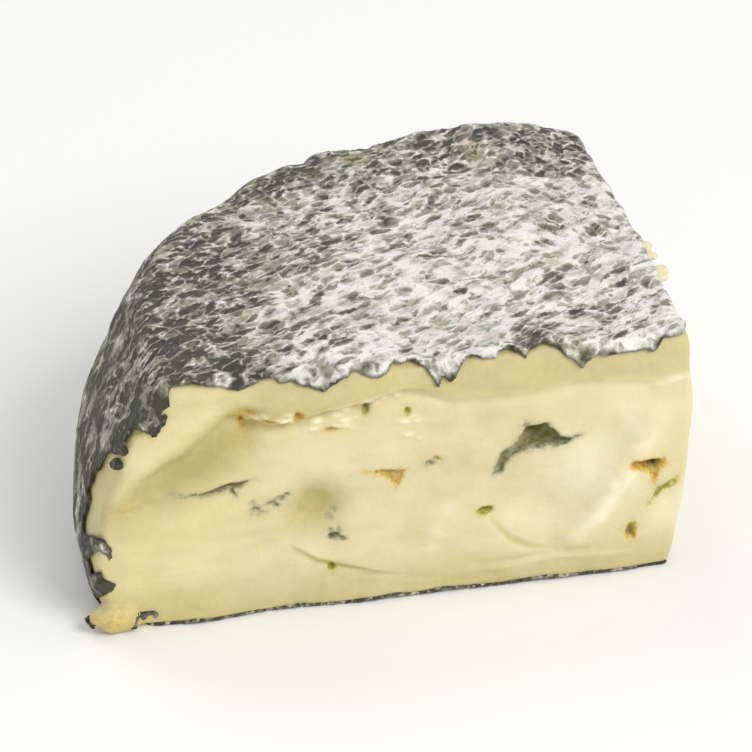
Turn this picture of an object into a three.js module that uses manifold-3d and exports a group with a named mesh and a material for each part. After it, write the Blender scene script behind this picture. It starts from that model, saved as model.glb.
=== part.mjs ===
// Cut piece of an ash-ripened blue cheese, in millimetres, +Z up.
// The piece is what two knife cuts leave of a small round wheel. It is worked out with the
// wheel's axis on Z, then moved so that the middle of its box stands on the origin.

import * as THREE from 'three';
import { mergeVertices } from 'three/addons/utils/BufferGeometryUtils.js';
import Module from 'manifold-3d';

// Wheel sizes. The shoulder is the worn slope from the top down to the side wall.
const WHEEL_RADIUS = 64;
const WHEEL_HEIGHT = 40;
const SHOULDER_INSET = 11;
const SHOULDER_DROP = 23;
const SHOULDER_POWER = 1.35;
const FOOT_INSET = 4;
const FOOT_RISE = 5;
const BELLY = 0.5;

// The two cuts. The front one faces -Y. The side one starts at the tip and leans by a small angle.
const FRONT_CUT_Y = -10.1;
const SIDE_CUT_X = 20.4;
const SIDE_CUT_BULGE = 1.9;
const SIDE_BULGE_SPAN = 46;
const SIDE_CUT_LEAN = THREE.MathUtils.degToRad(1.36);

// Where the wheel's axis stands once the piece's box is centred on the origin.
const AXIS_X = 21.0;
const AXIS_Y = -26.7;

// How finely the surfaces are divided.
const WHEEL_SEGMENTS = 128;
const TOP_RING_STEP = 3.3;
const SHOULDER_RINGS = 10;
const WALL_RINGS = 4;
const FOOT_RINGS = 3;
const KNIFE_STEP = 1.8;
const KNIFE_SIDE_STEP = 2.9;
const KNIFE_MARGIN = 4;

// Places closer than these count as one vertex, or as lying on a face.
const SAME_VERTEX = 1e-4;
const ON_FACE = 1e-3;

// The rim and the top are uneven only from these places on, and come in softly over the fade.
const UNEVEN_RIM = { from: 0.78 * WHEEL_RADIUS, fade: 3 };
const UNEVEN_TOP = { from: 0.7 * WHEEL_HEIGHT, fade: 3 };

// Long waves round the rim: how many go round, their height and their start.
const RIM_WAVES = [
  { count: 3, height: 0.4, phase: 0.6 },
  { count: 7, height: 0.25, phase: 2.1 },
];

// Pleats in the rind: where they run down the rim, how deep they are and how wide.
const PLEATS = [
  { angle: 115, depth: 1.5, width: 2.0 },
  { angle: 83, depth: 0.8, width: 2.4 },
  { angle: 146, depth: 0.7, width: 2.6 },
  { angle: 172, depth: 0.6, width: 2.2 },
];
const PLEATS_END = { height: 0.55 * WHEEL_HEIGHT, fade: 6 };

// Lumps all over the rind: their size across and their height, coarse ones and finer ones.
const COARSE_LUMPS = { across: 13, height: 0.7 };
const FINE_LUMPS = { across: 6, height: 0.55 };

// Dents and swellings of the top, with their height and radius.
const TOP_DENTS = [
  { x: -2, y: -8, height: -1.1, radius: 2.4 },
  { x: -12, y: 0, height: -0.6, radius: 3.0 },
  { x: 3, y: 44, height: -0.8, radius: 4.0 },
  { x: -28, y: 18, height: 0.5, radius: 9.0 },
  { x: 8, y: 24, height: 0.4, radius: 8.0 },
];

// Low waves that the knife left on each cut, by the turn they make for each millimetre along and up.
const FRONT_WAVES = [
  { height: 0.18, along: 0.31, up: 0, phase: 0.5 },
  { height: 0.15, along: -0.23, up: 0.47, phase: 0 },
];
const SIDE_WAVES = [
  { height: 0.3, along: 0.19, up: 0.11, phase: 0 },
  { height: 0.2, along: -0.27, up: 0.43, phase: 0 },
  { height: 0.15, along: 0.8, up: 0, phase: 1.2 },
];

// Relief of the front cut, as seen from the front: x across, z up. The ledge is the layer under the
// rind, which stands proud and arches up in its middle.
const LEDGE = { from: -44, fade: 2, height: 33.2, proud: 0.8, softness: 0.8, fades: 38.5, over: 4 };
const LEDGE_ARCH = { x: -20, rise: 1.6, width: 11 };
const FOLD = {
  path: [[-41, 33.6], [-44.8, 30.5], [-49.7, 24.6], [-55, 21.8], [-61.5, 19.6]],
  depth: 2.0,
  width: 2.6,
};
const SWELLING = { x: -44, z: 27.5, height: 1.1, across: 8, up: 4 };
const HOLLOWS = [
  { x: -32.5, z: 17, depth: 1.7, across: 3.8, up: 3.6 },
  { x: -2, z: 12.5, depth: 0.9, across: 6.5, up: 5 },
  { x: 14, z: 28, depth: 0.5, across: 8, up: 4 },
  { x: -22, z: 12, depth: 0.4, across: 6, up: 6 },
];
const RIDGE = { path: [[17, 25], [13, 18], [9.5, 11.5], [5, 6.5]], height: 0.9, width: 2.4 };
const CURL = { path: [[-36, 11], [-31, 8.2], [-25, 5.9], [-19, 3.6]], depth: 0.8, width: 1.2 };
const CORNER_WEAR = { from: -59, depth: 0.16 };

// The torn rind that laps over the edges of the two cuts: a thin lip with a ragged border.
// Flaps are the tongues of rind that hang lower than the rest.
const LIP_PROUD = 0.45;
const LIP_INSIDE = 2.5;
const LIP_STEP = 1.1;
const LIP_TOP = 39.3;
const LIP_RAGGED = { height: 0.6, across: 1.7 };
const EDGE_WEAR = { from: 38, depth: 0.7, softness: 0.8 };
const FRONT_FLAPS = [
  { at: -52, drop: 4.5, left: 6, right: 1.6 },
  { at: -41, drop: 1.2, left: 4, right: 1.5 },
  { at: -32.5, drop: 1.6, left: 6, right: 4 },
  { at: -23, drop: 0.6, left: 2, right: 2 },
  { at: -14.6, drop: 4.6, left: 2.6, right: 4 },
  { at: -6.7, drop: 0.8, left: 2.5, right: 1.8 },
  { at: -2.2, drop: 1.3, left: 1.6, right: 2.2 },
  { at: 5.5, drop: 2.8, left: 4, right: 15 },
];
const SIDE_FLAPS = [
  { at: 7, drop: 1.2, left: 3, right: 5 },
  { at: 18, drop: 2.4, left: 2, right: 4 },
  { at: 33, drop: 1.5, left: 5, right: 2 },
  { at: 46, drop: 3.0, left: 3, right: 3 },
  { at: 60, drop: 4.6, left: 3, right: 8 },
];

// Pockets left by the blue mould and by gas: outline on the front cut, depth and taper.
const BLUE_POCKET = {
  outline: [[-6.6, 19.4], [-5.3, 23], [-3.1, 23.9], [-1.8, 26.6], [1.3, 26.6], [3.1, 23.7], [5, 23.6],
    [2.4, 22.6], [-2, 23], [-4.6, 21.1]],
  depth: 4.2,
  taper: 0.75,
};
const AMBER_POCKET = {
  outline: [[12.8, 19.5], [15.6, 19.7], [18.1, 18.7], [18.2, 17], [17, 14.9], [16.1, 17.2]],
  depth: 2.8,
  taper: 0.6,
};
const YELLOW_POCKET = {
  outline: [[16.4, 11.6], [17.2, 13.2], [20.2, 14.8], [20.4, 13.6], [18.3, 12.6]],
  depth: 1.6,
  taper: 0.6,
};
const SLIT_POCKET = {
  outline: [[-52.4, 22.2], [-48.6, 21.6], [-45.6, 21.9], [-42, 22.8], [-43.6, 21.3], [-48.8, 20.8]],
  depth: 2.4,
  taper: 0.7,
};
const OCHRE_POCKET = {
  outline: [[-25, 22.1], [-21, 22.2], [-19, 21], [-20.2, 19.1], [-21.6, 20.8]],
  depth: 1.4,
  taper: 0.6,
};
const ROUND_HOLES = [
  { x: 13.8, z: 6.7, across: 1.1, up: 1.5, depth: 1.8 },
  { x: -7.4, z: 12.9, across: 1.3, up: 1.0, depth: 1.6 },
  { x: -29.2, z: 12, across: 1.4, up: 1.0, depth: 1.5 },
  { x: -38.4, z: 18.4, across: 2.2, up: 0.9, depth: 1.3 },
  { x: -29.8, z: 7.5, across: 0.9, up: 1.0, depth: 1.3 },
  { x: -24.9, z: 32.5, across: 0.9, up: 1.2, depth: 1.4 },
  { x: -37, z: 32.8, across: 2.4, up: 0.7, depth: 1.3 },
];
const SIDE_HOLES = [
  { y: 6, z: 24, along: 3.2, up: 1.5, depth: 3.2 },
  { y: 24, z: 13, along: 2.2, up: 1.6, depth: 2.4 },
  { y: 35, z: 27, along: 4.0, up: 1.3, depth: 3.0 },
  { y: 47, z: 17, along: 1.7, up: 2.1, depth: 2.0 },
  { y: 14, z: 31, along: 1.5, up: 0.9, depth: 1.5 },
];
const HOLE_SIDES = 8;

// Materials' look: an ivory paste under a grey-white rind. One solid, so one colour here.
const CHEESE_COLOUR = 0xe2d9ae;
const CHEESE_ROUGHNESS = 0.62;

const wasm = await Module();
wasm.setup();

// Small maths helpers.

function bell(distance, width) {
  return Math.exp(-((distance / width) ** 2));
}

function softStep(value, softness) {
  return 0.5 + 0.5 * Math.tanh(value / softness);
}

function waveSum(along, up, waves) {
  return waves.reduce((sum, w) => sum + w.height * Math.sin(w.along * along + w.up * up + w.phase), 0);
}

function distanceToSegment(x, z, [ax, az], [bx, bz]) {
  const along = ((x - ax) * (bx - ax) + (z - az) * (bz - az)) / ((bx - ax) ** 2 + (bz - az) ** 2);
  const t = THREE.MathUtils.clamp(along, 0, 1);
  return Math.hypot(x - ax - t * (bx - ax), z - az - t * (bz - az));
}

function distanceToPath(x, z, path) {
  let nearest = Infinity;
  for (let i = 1; i < path.length; i += 1) {
    nearest = Math.min(nearest, distanceToSegment(x, z, path[i - 1], path[i]));
  }
  return nearest;
}

// A number between 0 and 1 that belongs to a whole-numbered place.
function chance(i, j, k) {
  const mixed = Math.sin(i * 127.1 + j * 311.7 + k * 74.7) * 43758.5453;
  return mixed - Math.floor(mixed);
}

// Smooth random lumps between -1 and 1, of a given size across.
function lumps(x, y, z, across) {
  const [u, v, w] = [x / across, y / across, z / across];
  const [i, j, k] = [Math.floor(u), Math.floor(v), Math.floor(w)];
  const [a, b, c] = [u - i, v - j, w - k].map((t) => t * t * (3 - 2 * t));
  let sum = 0;
  for (let corner = 0; corner < 8; corner += 1) {
    const [p, q, r] = [corner & 1, (corner >> 1) & 1, corner >> 2];
    const share = (p ? a : 1 - a) * (q ? b : 1 - b) * (r ? c : 1 - c);
    sum += share * chance(i + p, j + q, k + r);
  }
  return 2 * sum - 1;
}

function rindLumps(x, y, z) {
  return COARSE_LUMPS.height * lumps(x, y, z, COARSE_LUMPS.across)
    + FINE_LUMPS.height * lumps(x, y, z, FINE_LUMPS.across);
}

// The uneven rim: long waves round the wheel and the pleats, as a change of radius.
function rimUnevenness(angle, z) {
  const waves = RIM_WAVES.reduce((sum, w) => sum + w.height * Math.sin(w.count * angle + w.phase), 0);
  const high = softStep(z - PLEATS_END.height, PLEATS_END.fade);
  let folds = 0;
  for (const pleat of PLEATS) {
    const away = Math.abs(angle - THREE.MathUtils.degToRad(pleat.angle)) * WHEEL_RADIUS;
    folds += pleat.depth * bell(away, pleat.width);
  }
  return waves - folds * high;
}

// The uneven top: the named dents and swellings, as a change of height.
function topUnevenness(x, y) {
  let height = 0;
  for (const dent of TOP_DENTS) {
    height += dent.height * bell(Math.hypot(x - dent.x, y - dent.y), dent.radius);
  }
  return height;
}

// Half outline of the wheel, worked out from the middle of the top down to the middle of the base,
// and handed over from the base up.
function wheelProfile() {
  const points = [];
  const flatRadius = WHEEL_RADIUS - SHOULDER_INSET;
  const topRings = Math.round(flatRadius / TOP_RING_STEP);
  for (let i = 0; i < topRings; i += 1) {
    points.push(new THREE.Vector2((flatRadius * i) / topRings, WHEEL_HEIGHT));
  }
  for (let i = 0; i <= SHOULDER_RINGS; i += 1) {
    const a = (Math.PI / 2) * (i / SHOULDER_RINGS);
    points.push(new THREE.Vector2(
      flatRadius + SHOULDER_INSET * Math.sin(a) ** (2 / SHOULDER_POWER),
      WHEEL_HEIGHT - SHOULDER_DROP + SHOULDER_DROP * Math.cos(a) ** (2 / SHOULDER_POWER),
    ));
  }
  const wallTop = WHEEL_HEIGHT - SHOULDER_DROP;
  for (let i = 1; i <= WALL_RINGS; i += 1) {
    const t = i / WALL_RINGS;
    const belly = BELLY * Math.sin(Math.PI * t);
    points.push(new THREE.Vector2(WHEEL_RADIUS + belly, THREE.MathUtils.lerp(wallTop, FOOT_RISE, t)));
  }
  for (let i = 1; i <= FOOT_RINGS; i += 1) {
    const a = (Math.PI / 2) * (i / FOOT_RINGS);
    points.push(new THREE.Vector2(
      WHEEL_RADIUS - FOOT_INSET * (1 - Math.cos(a)),
      FOOT_RISE * (1 - Math.sin(a)),
    ));
  }
  points.push(new THREE.Vector2(0, 0));
  return points.reverse();
}

function mergedByPlace(geometry) {
  geometry.deleteAttribute('normal');
  geometry.deleteAttribute('uv');
  return mergeVertices(geometry, SAME_VERTEX);
}

function moveVertices(geometry, place) {
  const position = geometry.attributes.position;
  const point = new THREE.Vector3();
  for (let i = 0; i < position.count; i += 1) {
    place(point.fromBufferAttribute(position, i));
    position.setXYZ(i, point.x, point.y, point.z);
  }
  return geometry;
}

// A closed solid from a merged geometry. Triangles that merging flattened are left out.
function solidFrom(geometry) {
  const kept = [];
  const index = geometry.index.array;
  for (let i = 0; i < index.length; i += 3) {
    const [a, b, c] = [index[i], index[i + 1], index[i + 2]];
    if (a !== b && b !== c && c !== a) {
      kept.push(a, b, c);
    }
  }
  return new wasm.Manifold(new wasm.Mesh({
    numProp: 3,
    vertProperties: geometry.attributes.position.array,
    triVerts: Uint32Array.from(kept),
  }));
}

// The whole wheel, turned from its profile, with its rim and top made uneven.
function wheelSolid() {
  const turned = mergedByPlace(new THREE.LatheGeometry(wheelProfile(), WHEEL_SEGMENTS));
  turned.rotateX(Math.PI / 2);
  moveVertices(turned, (p) => {
    const radius = Math.hypot(p.x, p.y);
    if (p.z < FOOT_RISE / 2) {
      return;
    }
    const angle = Math.atan2(p.y, p.x);
    const outward = softStep(radius - UNEVEN_RIM.from, UNEVEN_RIM.fade);
    const upward = softStep(p.z - UNEVEN_TOP.from, UNEVEN_TOP.fade);
    const lump = rindLumps(p.x, p.y, p.z);
    const grown = radius > 0 ? 1 + ((rimUnevenness(angle, p.z) + lump) * outward) / radius : 1;
    p.z += (topUnevenness(p.x, p.y) + lump) * upward;
    p.x *= grown;
    p.y *= grown;
  });
  return solidFrom(turned);
}

// How far the front cut lies behind its flat plane at a place of it.
function frontRelief(x, z) {
  let depth = waveSum(x, z, FRONT_WAVES);
  const ledgeLine = LEDGE.height + LEDGE_ARCH.rise * bell(x - LEDGE_ARCH.x, LEDGE_ARCH.width);
  const ledge = softStep(z - ledgeLine, LEDGE.softness) * softStep(x - LEDGE.from, LEDGE.fade);
  depth -= LEDGE.proud * ledge * THREE.MathUtils.clamp((LEDGE.fades - z) / LEDGE.over, 0, 1);
  depth += EDGE_WEAR.depth * softStep(z - EDGE_WEAR.from, EDGE_WEAR.softness);
  depth += FOLD.depth * bell(distanceToPath(x, z, FOLD.path), FOLD.width);
  depth -= SWELLING.height * bell((x - SWELLING.x) / SWELLING.across, 1)
    * bell((z - SWELLING.z) / SWELLING.up, 1);
  for (const hollow of HOLLOWS) {
    depth += hollow.depth * bell(Math.hypot((x - hollow.x) / hollow.across, (z - hollow.z) / hollow.up), 1);
  }
  depth -= RIDGE.height * bell(distanceToPath(x, z, RIDGE.path), RIDGE.width);
  depth += CURL.depth * bell(distanceToPath(x, z, CURL.path), CURL.width);
  depth += CORNER_WEAR.depth * Math.max(0, CORNER_WEAR.from - x);
  return depth;
}

// Where the side cut lies at a place of it.
function sideCutX(y, z) {
  const height = THREE.MathUtils.clamp(z, 0, WHEEL_HEIGHT);
  const bulge = SIDE_CUT_BULGE * Math.sin((Math.PI * height) / SIDE_BULGE_SPAN);
  const lean = (y - FRONT_CUT_Y) * Math.tan(SIDE_CUT_LEAN);
  return SIDE_CUT_X + bulge + waveSum(y, z, SIDE_WAVES) - lean;
}

// Height of the lip's ragged lower border along a cut.
function lipHeight(along, flaps) {
  let height = LIP_TOP + LIP_RAGGED.height * lumps(along, 0, 0, LIP_RAGGED.across);
  for (const flap of flaps) {
    const side = along < flap.at ? flap.left : flap.right;
    height -= flap.drop * Math.max(0, 1 - Math.abs(along - flap.at) / side);
  }
  return height;
}

// The lip of rind along a cut, drawn flat from its ragged border up past the top.
function lipShape(from, to, flaps) {
  const high = WHEEL_HEIGHT + KNIFE_MARGIN;
  const steps = Math.round((to - from) / LIP_STEP);
  const outline = [];
  for (let i = 0; i <= steps; i += 1) {
    const along = THREE.MathUtils.lerp(from, to, i / steps);
    outline.push(new THREE.Vector2(along, lipHeight(along, flaps)));
  }
  return new THREE.Shape([...outline, new THREE.Vector2(to, high), new THREE.Vector2(from, high)]);
}

function lipPlate(from, to, flaps) {
  const settings = { depth: LIP_PROUD + LIP_INSIDE, bevelEnabled: false };
  const plate = mergedByPlace(new THREE.ExtrudeGeometry(lipShape(from, to, flaps), settings));
  return plate.rotateX(Math.PI / 2);
}

// The lips as thin plates against the two cuts. The wheel's own outline trims them.
function lipSolids() {
  const sideFace = SIDE_CUT_X + SIDE_CUT_BULGE * Math.sin((Math.PI * WHEEL_HEIGHT) / SIDE_BULGE_SPAN);
  const front = lipPlate(-WHEEL_RADIUS, sideFace, FRONT_FLAPS);
  front.translate(0, FRONT_CUT_Y + LIP_INSIDE, 0);
  const side = lipPlate(0, WHEEL_RADIUS - FRONT_CUT_Y, SIDE_FLAPS);
  side.rotateZ(Math.PI / 2 + SIDE_CUT_LEAN);
  side.translate(sideFace - LIP_INSIDE, FRONT_CUT_Y, 0);
  return [solidFrom(front), solidFrom(side)];
}

// The block that the knife leaves: its front and right faces carry the relief of the two cuts.
function knifeSolid() {
  const left = -WHEEL_RADIUS - KNIFE_MARGIN;
  const back = WHEEL_RADIUS + KNIFE_MARGIN;
  const width = SIDE_CUT_X - left;
  const depth = back - FRONT_CUT_Y;
  const height = WHEEL_HEIGHT + 2 * KNIFE_MARGIN;
  const box = mergedByPlace(new THREE.BoxGeometry(
    width,
    depth,
    height,
    Math.round(width / KNIFE_STEP),
    Math.round(depth / KNIFE_SIDE_STEP),
    Math.round(height / KNIFE_STEP),
  ));
  box.translate(left + width / 2, FRONT_CUT_Y + depth / 2, WHEEL_HEIGHT / 2);
  moveVertices(box, (p) => {
    const onFront = Math.abs(p.y - FRONT_CUT_Y) < ON_FACE;
    const onSide = Math.abs(p.x - SIDE_CUT_X) < ON_FACE;
    const x = onSide ? sideCutX(p.y, p.z) : p.x;
    if (onFront) {
      p.y += frontRelief(x, p.z);
    }
    p.x = x;
  });
  return solidFrom(box);
}

// A pocket in the front cut, from its outline. It narrows towards its floor.
function pocketSolid({ outline, depth, taper }) {
  const shape = new THREE.Shape(outline.map(([x, z]) => new THREE.Vector2(x, z)));
  const reach = depth + KNIFE_MARGIN;
  const extruded = mergedByPlace(new THREE.ExtrudeGeometry(shape, { depth: reach, bevelEnabled: false }));
  extruded.rotateX(Math.PI / 2);
  extruded.translate(0, FRONT_CUT_Y + depth, 0);
  const middle = new THREE.Vector2();
  outline.forEach(([x, z]) => middle.add(new THREE.Vector2(x / outline.length, z / outline.length)));
  moveVertices(extruded, (p) => {
    if (p.y > FRONT_CUT_Y) {
      p.x = THREE.MathUtils.lerp(middle.x, p.x, taper);
      p.z = THREE.MathUtils.lerp(middle.y, p.z, taper);
    }
  });
  return solidFrom(extruded);
}

// A round hole, as a stretched ball with its middle on the cut.
function holeSolid(centre, radii) {
  const ball = mergedByPlace(new THREE.SphereGeometry(1, HOLE_SIDES, HOLE_SIDES / 2));
  ball.scale(radii.x, radii.y, radii.z);
  ball.translate(centre.x, centre.y, centre.z);
  return solidFrom(ball);
}

function frontHoles() {
  return ROUND_HOLES.map((hole) => holeSolid(
    new THREE.Vector3(hole.x, FRONT_CUT_Y + frontRelief(hole.x, hole.z), hole.z),
    new THREE.Vector3(hole.across, hole.depth, hole.up),
  ));
}

function sideHoles() {
  return SIDE_HOLES.map((hole) => holeSolid(
    new THREE.Vector3(sideCutX(hole.y, hole.z), hole.y, hole.z),
    new THREE.Vector3(hole.depth, hole.along, hole.up),
  ));
}

function cheeseSolid() {
  const pockets = [BLUE_POCKET, AMBER_POCKET, YELLOW_POCKET, SLIT_POCKET, OCHRE_POCKET].map(pocketSolid);
  const knife = lipSolids().reduce((block, lip) => block.add(lip), knifeSolid());
  let piece = wheelSolid().intersect(knife);
  for (const cut of [...pockets, ...frontHoles(), ...sideHoles()]) {
    piece = piece.subtract(cut);
  }
  return piece;
}

function geometryFrom(solid) {
  const mesh = solid.getMesh();
  const geometry = new THREE.BufferGeometry();
  geometry.setAttribute('position', new THREE.BufferAttribute(Float32Array.from(mesh.vertProperties), 3));
  geometry.setIndex(new THREE.BufferAttribute(Uint32Array.from(mesh.triVerts), 1));
  geometry.computeVertexNormals();
  return geometry;
}

function cheesePiece() {
  const material = new THREE.MeshStandardMaterial({ color: CHEESE_COLOUR, roughness: CHEESE_ROUGHNESS });
  const mesh = new THREE.Mesh(geometryFrom(cheeseSolid()), material);
  mesh.name = 'cheese_piece';
  mesh.position.set(AXIS_X, AXIS_Y, 0);
  return mesh;
}

const group = new THREE.Group();
group.add(cheesePiece());

export default group;
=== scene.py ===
# Looks of a cut piece of ash-ripened blue cheese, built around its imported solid.
# Shapes are worked out in millimetres with the wheel's axis on Z, as implicit surfaces on a grid,
# and become metres in the part's frame when their mesh is made.

import bpy
import numpy as np
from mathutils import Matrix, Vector


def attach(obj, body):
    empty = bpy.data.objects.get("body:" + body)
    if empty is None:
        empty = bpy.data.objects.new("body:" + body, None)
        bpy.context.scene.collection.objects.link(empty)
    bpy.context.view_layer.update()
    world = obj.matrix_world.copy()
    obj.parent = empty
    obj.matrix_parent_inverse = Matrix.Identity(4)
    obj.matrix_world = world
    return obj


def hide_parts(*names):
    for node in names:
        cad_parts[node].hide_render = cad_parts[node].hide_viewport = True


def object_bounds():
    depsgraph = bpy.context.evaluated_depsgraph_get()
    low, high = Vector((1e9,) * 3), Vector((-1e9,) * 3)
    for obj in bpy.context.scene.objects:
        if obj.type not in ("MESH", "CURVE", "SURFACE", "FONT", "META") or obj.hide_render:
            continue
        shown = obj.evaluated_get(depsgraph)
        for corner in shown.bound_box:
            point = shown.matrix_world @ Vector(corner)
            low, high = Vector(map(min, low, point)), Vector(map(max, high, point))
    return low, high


NODE = "cheese_piece"
METRES = 0.001

# Wheel sizes, as in the solid.
WHEEL_RADIUS = 64.0
WHEEL_HEIGHT = 40.0
SHOULDER_INSET = 11.0
SHOULDER_DROP = 23.0
SHOULDER_POWER = 1.35
FOOT_INSET = 4.0
FOOT_RISE = 5.0
BELLY = 0.5
FRONT_CUT_Y = -10.1
SIDE_CUT_X = 20.4
SIDE_CUT_BULGE = 1.9
SIDE_BULGE_SPAN = 46.0
SIDE_CUT_LEAN = np.radians(1.36)
AXIS_X = 21.0
AXIS_Y = -26.7

# Unevenness of the wheel, as in the solid.
PLEATS = ((115, 1.5, 2.0), (83, 0.8, 2.4), (146, 0.7, 2.6), (172, 0.6, 2.2))
COARSE_LUMPS = (13.0, 0.7)
FINE_LUMPS = (6.0, 0.55)
TOP_DENTS = (
    (-2, -8, -1.1, 2.4), (-12, 0, -0.6, 3.0), (3, 44, -0.8, 4.0), (-28, 18, 0.5, 9.0), (8, 24, 0.4, 8.0),
)
RIM_WAVES = ((0.4, 3, 0.6), (0.25, 7, 2.1))
SIDE_WAVES = ((0.3, 0.19, 0.11, 0.0), (0.2, -0.27, 0.43, 0.0), (0.15, 0.8, 0.0, 1.2))
FRONT_WAVES = ((0.18, 0.31, 0.0, 0.5), (0.15, -0.23, 0.47, 0.0))

# Grid steps. The front cut gets finer steps than the rest.
X_STEP = 0.35
Z_STEP = 0.37
Y_FINE_STEP = 0.35
Y_STEP = 0.53
Y_FINE_TO = -5.0
LOW_CORNER = (-67.5, -13.0, -0.9)
HIGH_CORNER = (24.6, 67.0, 43.0)

# Share of the faces that is kept where nothing shows them.
HIDDEN_SHARE = 0.05

# Rind thickness and how it curls up along its torn border.
RIND = 0.7
RIND_AT_BASE = 0.38
RIND_ON_CUT = 0.4
RIND_UNDERLAP = 0.3
BORDER_CURL = 0.3
BORDER_CURL_WIDTH = 0.9
EDGE_ROUNDING = 1.3
BACK_ROUNDING = 3.0


def soft_step(value, softness):
    return 0.5 + 0.5 * np.tanh(value / softness)


def smooth_step(value, low, high):
    t = np.clip((value - low) / (high - low), 0.0, 1.0)
    return t * t * (3.0 - 2.0 * t)


def bell(distance, width):
    return np.exp(-((distance / width) ** 2))


def smooth_max(a, b, rounding):
    overlap = np.maximum(rounding - np.abs(a - b), 0.0) / rounding
    return np.maximum(a, b) + overlap * overlap * rounding / 4.0


def smooth_min(a, b, rounding):
    return -smooth_max(-a, -b, rounding)


def chance(i, j, k):
    """A number between 0 and 1 that belongs to a whole-numbered place."""
    mixed = np.sin(i * 127.1 + j * 311.7 + k * 74.7) * 43758.5453
    return mixed - np.floor(mixed)


def lumps(x, y, z, across):
    """Smooth random lumps between -1 and 1, of a given size across."""
    x, y, z = np.broadcast_arrays(x, y, z)
    u, v, w = x / across, y / across, z / across
    i, j, k = np.floor(u), np.floor(v), np.floor(w)
    a, b, c = (t * t * (3.0 - 2.0 * t) for t in (u - i, v - j, w - k))
    total = np.zeros(np.shape(u))
    for p in (0, 1):
        for q in (0, 1):
            for r in (0, 1):
                share = (a if p else 1 - a) * (b if q else 1 - b) * (c if r else 1 - c)
                total += share * chance(i + p, j + q, k + r)
    return 2.0 * total - 1.0


def waves(along, up, sizes):
    """Sum of waves, each given by its height, its numbers along and up, and its phase."""
    return sum(high * np.sin(a * along + b * up + phase) for high, a, b, phase in sizes)


def jagged(along, pitch, seed):
    """Random zigzag between -1 and 1 with a corner at every pitch."""
    u = along / pitch
    i = np.floor(u)
    share = u - i
    return 2.0 * ((1.0 - share) * chance(i, seed, 1.0) + share * chance(i + 1.0, seed, 1.0)) - 1.0


def segment_offsets(x, z, path):
    """Distance to a path, the share of the path passed, and the side: positive to the right of its run."""
    best = np.full(np.shape(x + z), np.inf)
    share = np.zeros_like(best)
    side = np.zeros_like(best)
    count = len(path) - 1
    for n in range(count):
        (ax, az), (bx, bz) = path[n], path[n + 1]
        length2 = (bx - ax) ** 2 + (bz - az) ** 2
        t = np.clip(((x - ax) * (bx - ax) + (z - az) * (bz - az)) / length2, 0.0, 1.0)
        away = np.hypot(x - ax - t * (bx - ax), z - az - t * (bz - az))
        cross = (x - ax) * (bz - az) - (z - az) * (bx - ax)
        nearer = away < best
        best = np.where(nearer, away, best)
        share = np.where(nearer, (n + t) / count, share)
        side = np.where(nearer, np.sign(cross), side)
    return best, share, side


def outline_distance(x, z, outline):
    """Signed distance to a closed outline, negative inside."""
    away, _, _ = segment_offsets(x, z, list(outline) + [outline[0]])
    inside = np.zeros(np.shape(away), bool)
    for (ax, az), (bx, bz) in zip(outline, outline[1:] + outline[:1]):
        crosses = (az > z) != (bz > z)
        rise = np.where(bz == az, 1e-9, bz - az)
        inside ^= crosses & (x < (bx - ax) * (z - az) / rise + ax)
    return np.where(inside, -away, away)


# The wheel.


def rim_unevenness(angle, z):
    round_waves = sum(high * np.sin(number * angle + phase) for high, number, phase in RIM_WAVES)
    folds = 0.0
    for at, depth, width in PLEATS:
        folds = folds + depth * bell(np.abs(angle - np.radians(at)) * WHEEL_RADIUS, width)
    return round_waves - folds * soft_step(z - 0.55 * WHEEL_HEIGHT, 6.0)


def top_unevenness(x, y):
    height = 0.0
    for at_x, at_y, rise, radius in TOP_DENTS:
        height = height + rise * bell(np.hypot(x - at_x, y - at_y), radius)
    return height


def skin(z):
    """Thickness of the rind at a height: thin under the wheel, full from its foot up."""
    return RIND_AT_BASE + (RIND - RIND_AT_BASE) * smooth_step(z, 0.6, 3.5)


def corner_distance(u, v, width, height, power):
    """Distance to a superellipse corner, given how far past its centre a place lies each way."""
    u = np.maximum(u / width, 0.0)
    v = np.maximum(v / height, 0.0)
    size = np.maximum((u**power + v**power) ** (1 / power), 1e-3)
    slope = size ** (1 - power) * np.hypot(u ** (power - 1) / width, v ** (power - 1) / height)
    return (size - 1.0) / np.maximum(slope, 1.0 / max(width, height))


def wheel_distance(x, y, z):
    """Signed distance to the wheel's uneven surface, negative inside."""
    radius = np.hypot(x, y)
    angle = np.arctan2(y, x)
    lump = sum(high * lumps(x, y, z, across) for across, high in (COARSE_LUMPS, FINE_LUMPS))
    outward = soft_step(radius - 0.78 * WHEEL_RADIUS, 3.0) * smooth_step(z, 0.5, FOOT_RISE)
    upward = soft_step(z - 0.7 * WHEEL_HEIGHT, 3.0)
    r = radius - (rim_unevenness(angle, z) + lump) * outward
    h = z - (top_unevenness(x, y) + lump) * upward
    wall_top = WHEEL_HEIGHT - SHOULDER_DROP
    belly = BELLY * np.sin(np.pi * np.clip((h - FOOT_RISE) / (wall_top - FOOT_RISE), 0.0, 1.0))
    r = r - belly
    upper = corner_distance(
        r - (WHEEL_RADIUS - SHOULDER_INSET), h - wall_top, SHOULDER_INSET, SHOULDER_DROP, SHOULDER_POWER
    )
    lower = corner_distance(r - (WHEEL_RADIUS - FOOT_INSET), FOOT_RISE - h, FOOT_INSET, FOOT_RISE, 2.0)
    return np.maximum(upper, lower)


# The front cut, seen from the front: x across, z up.

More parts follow.
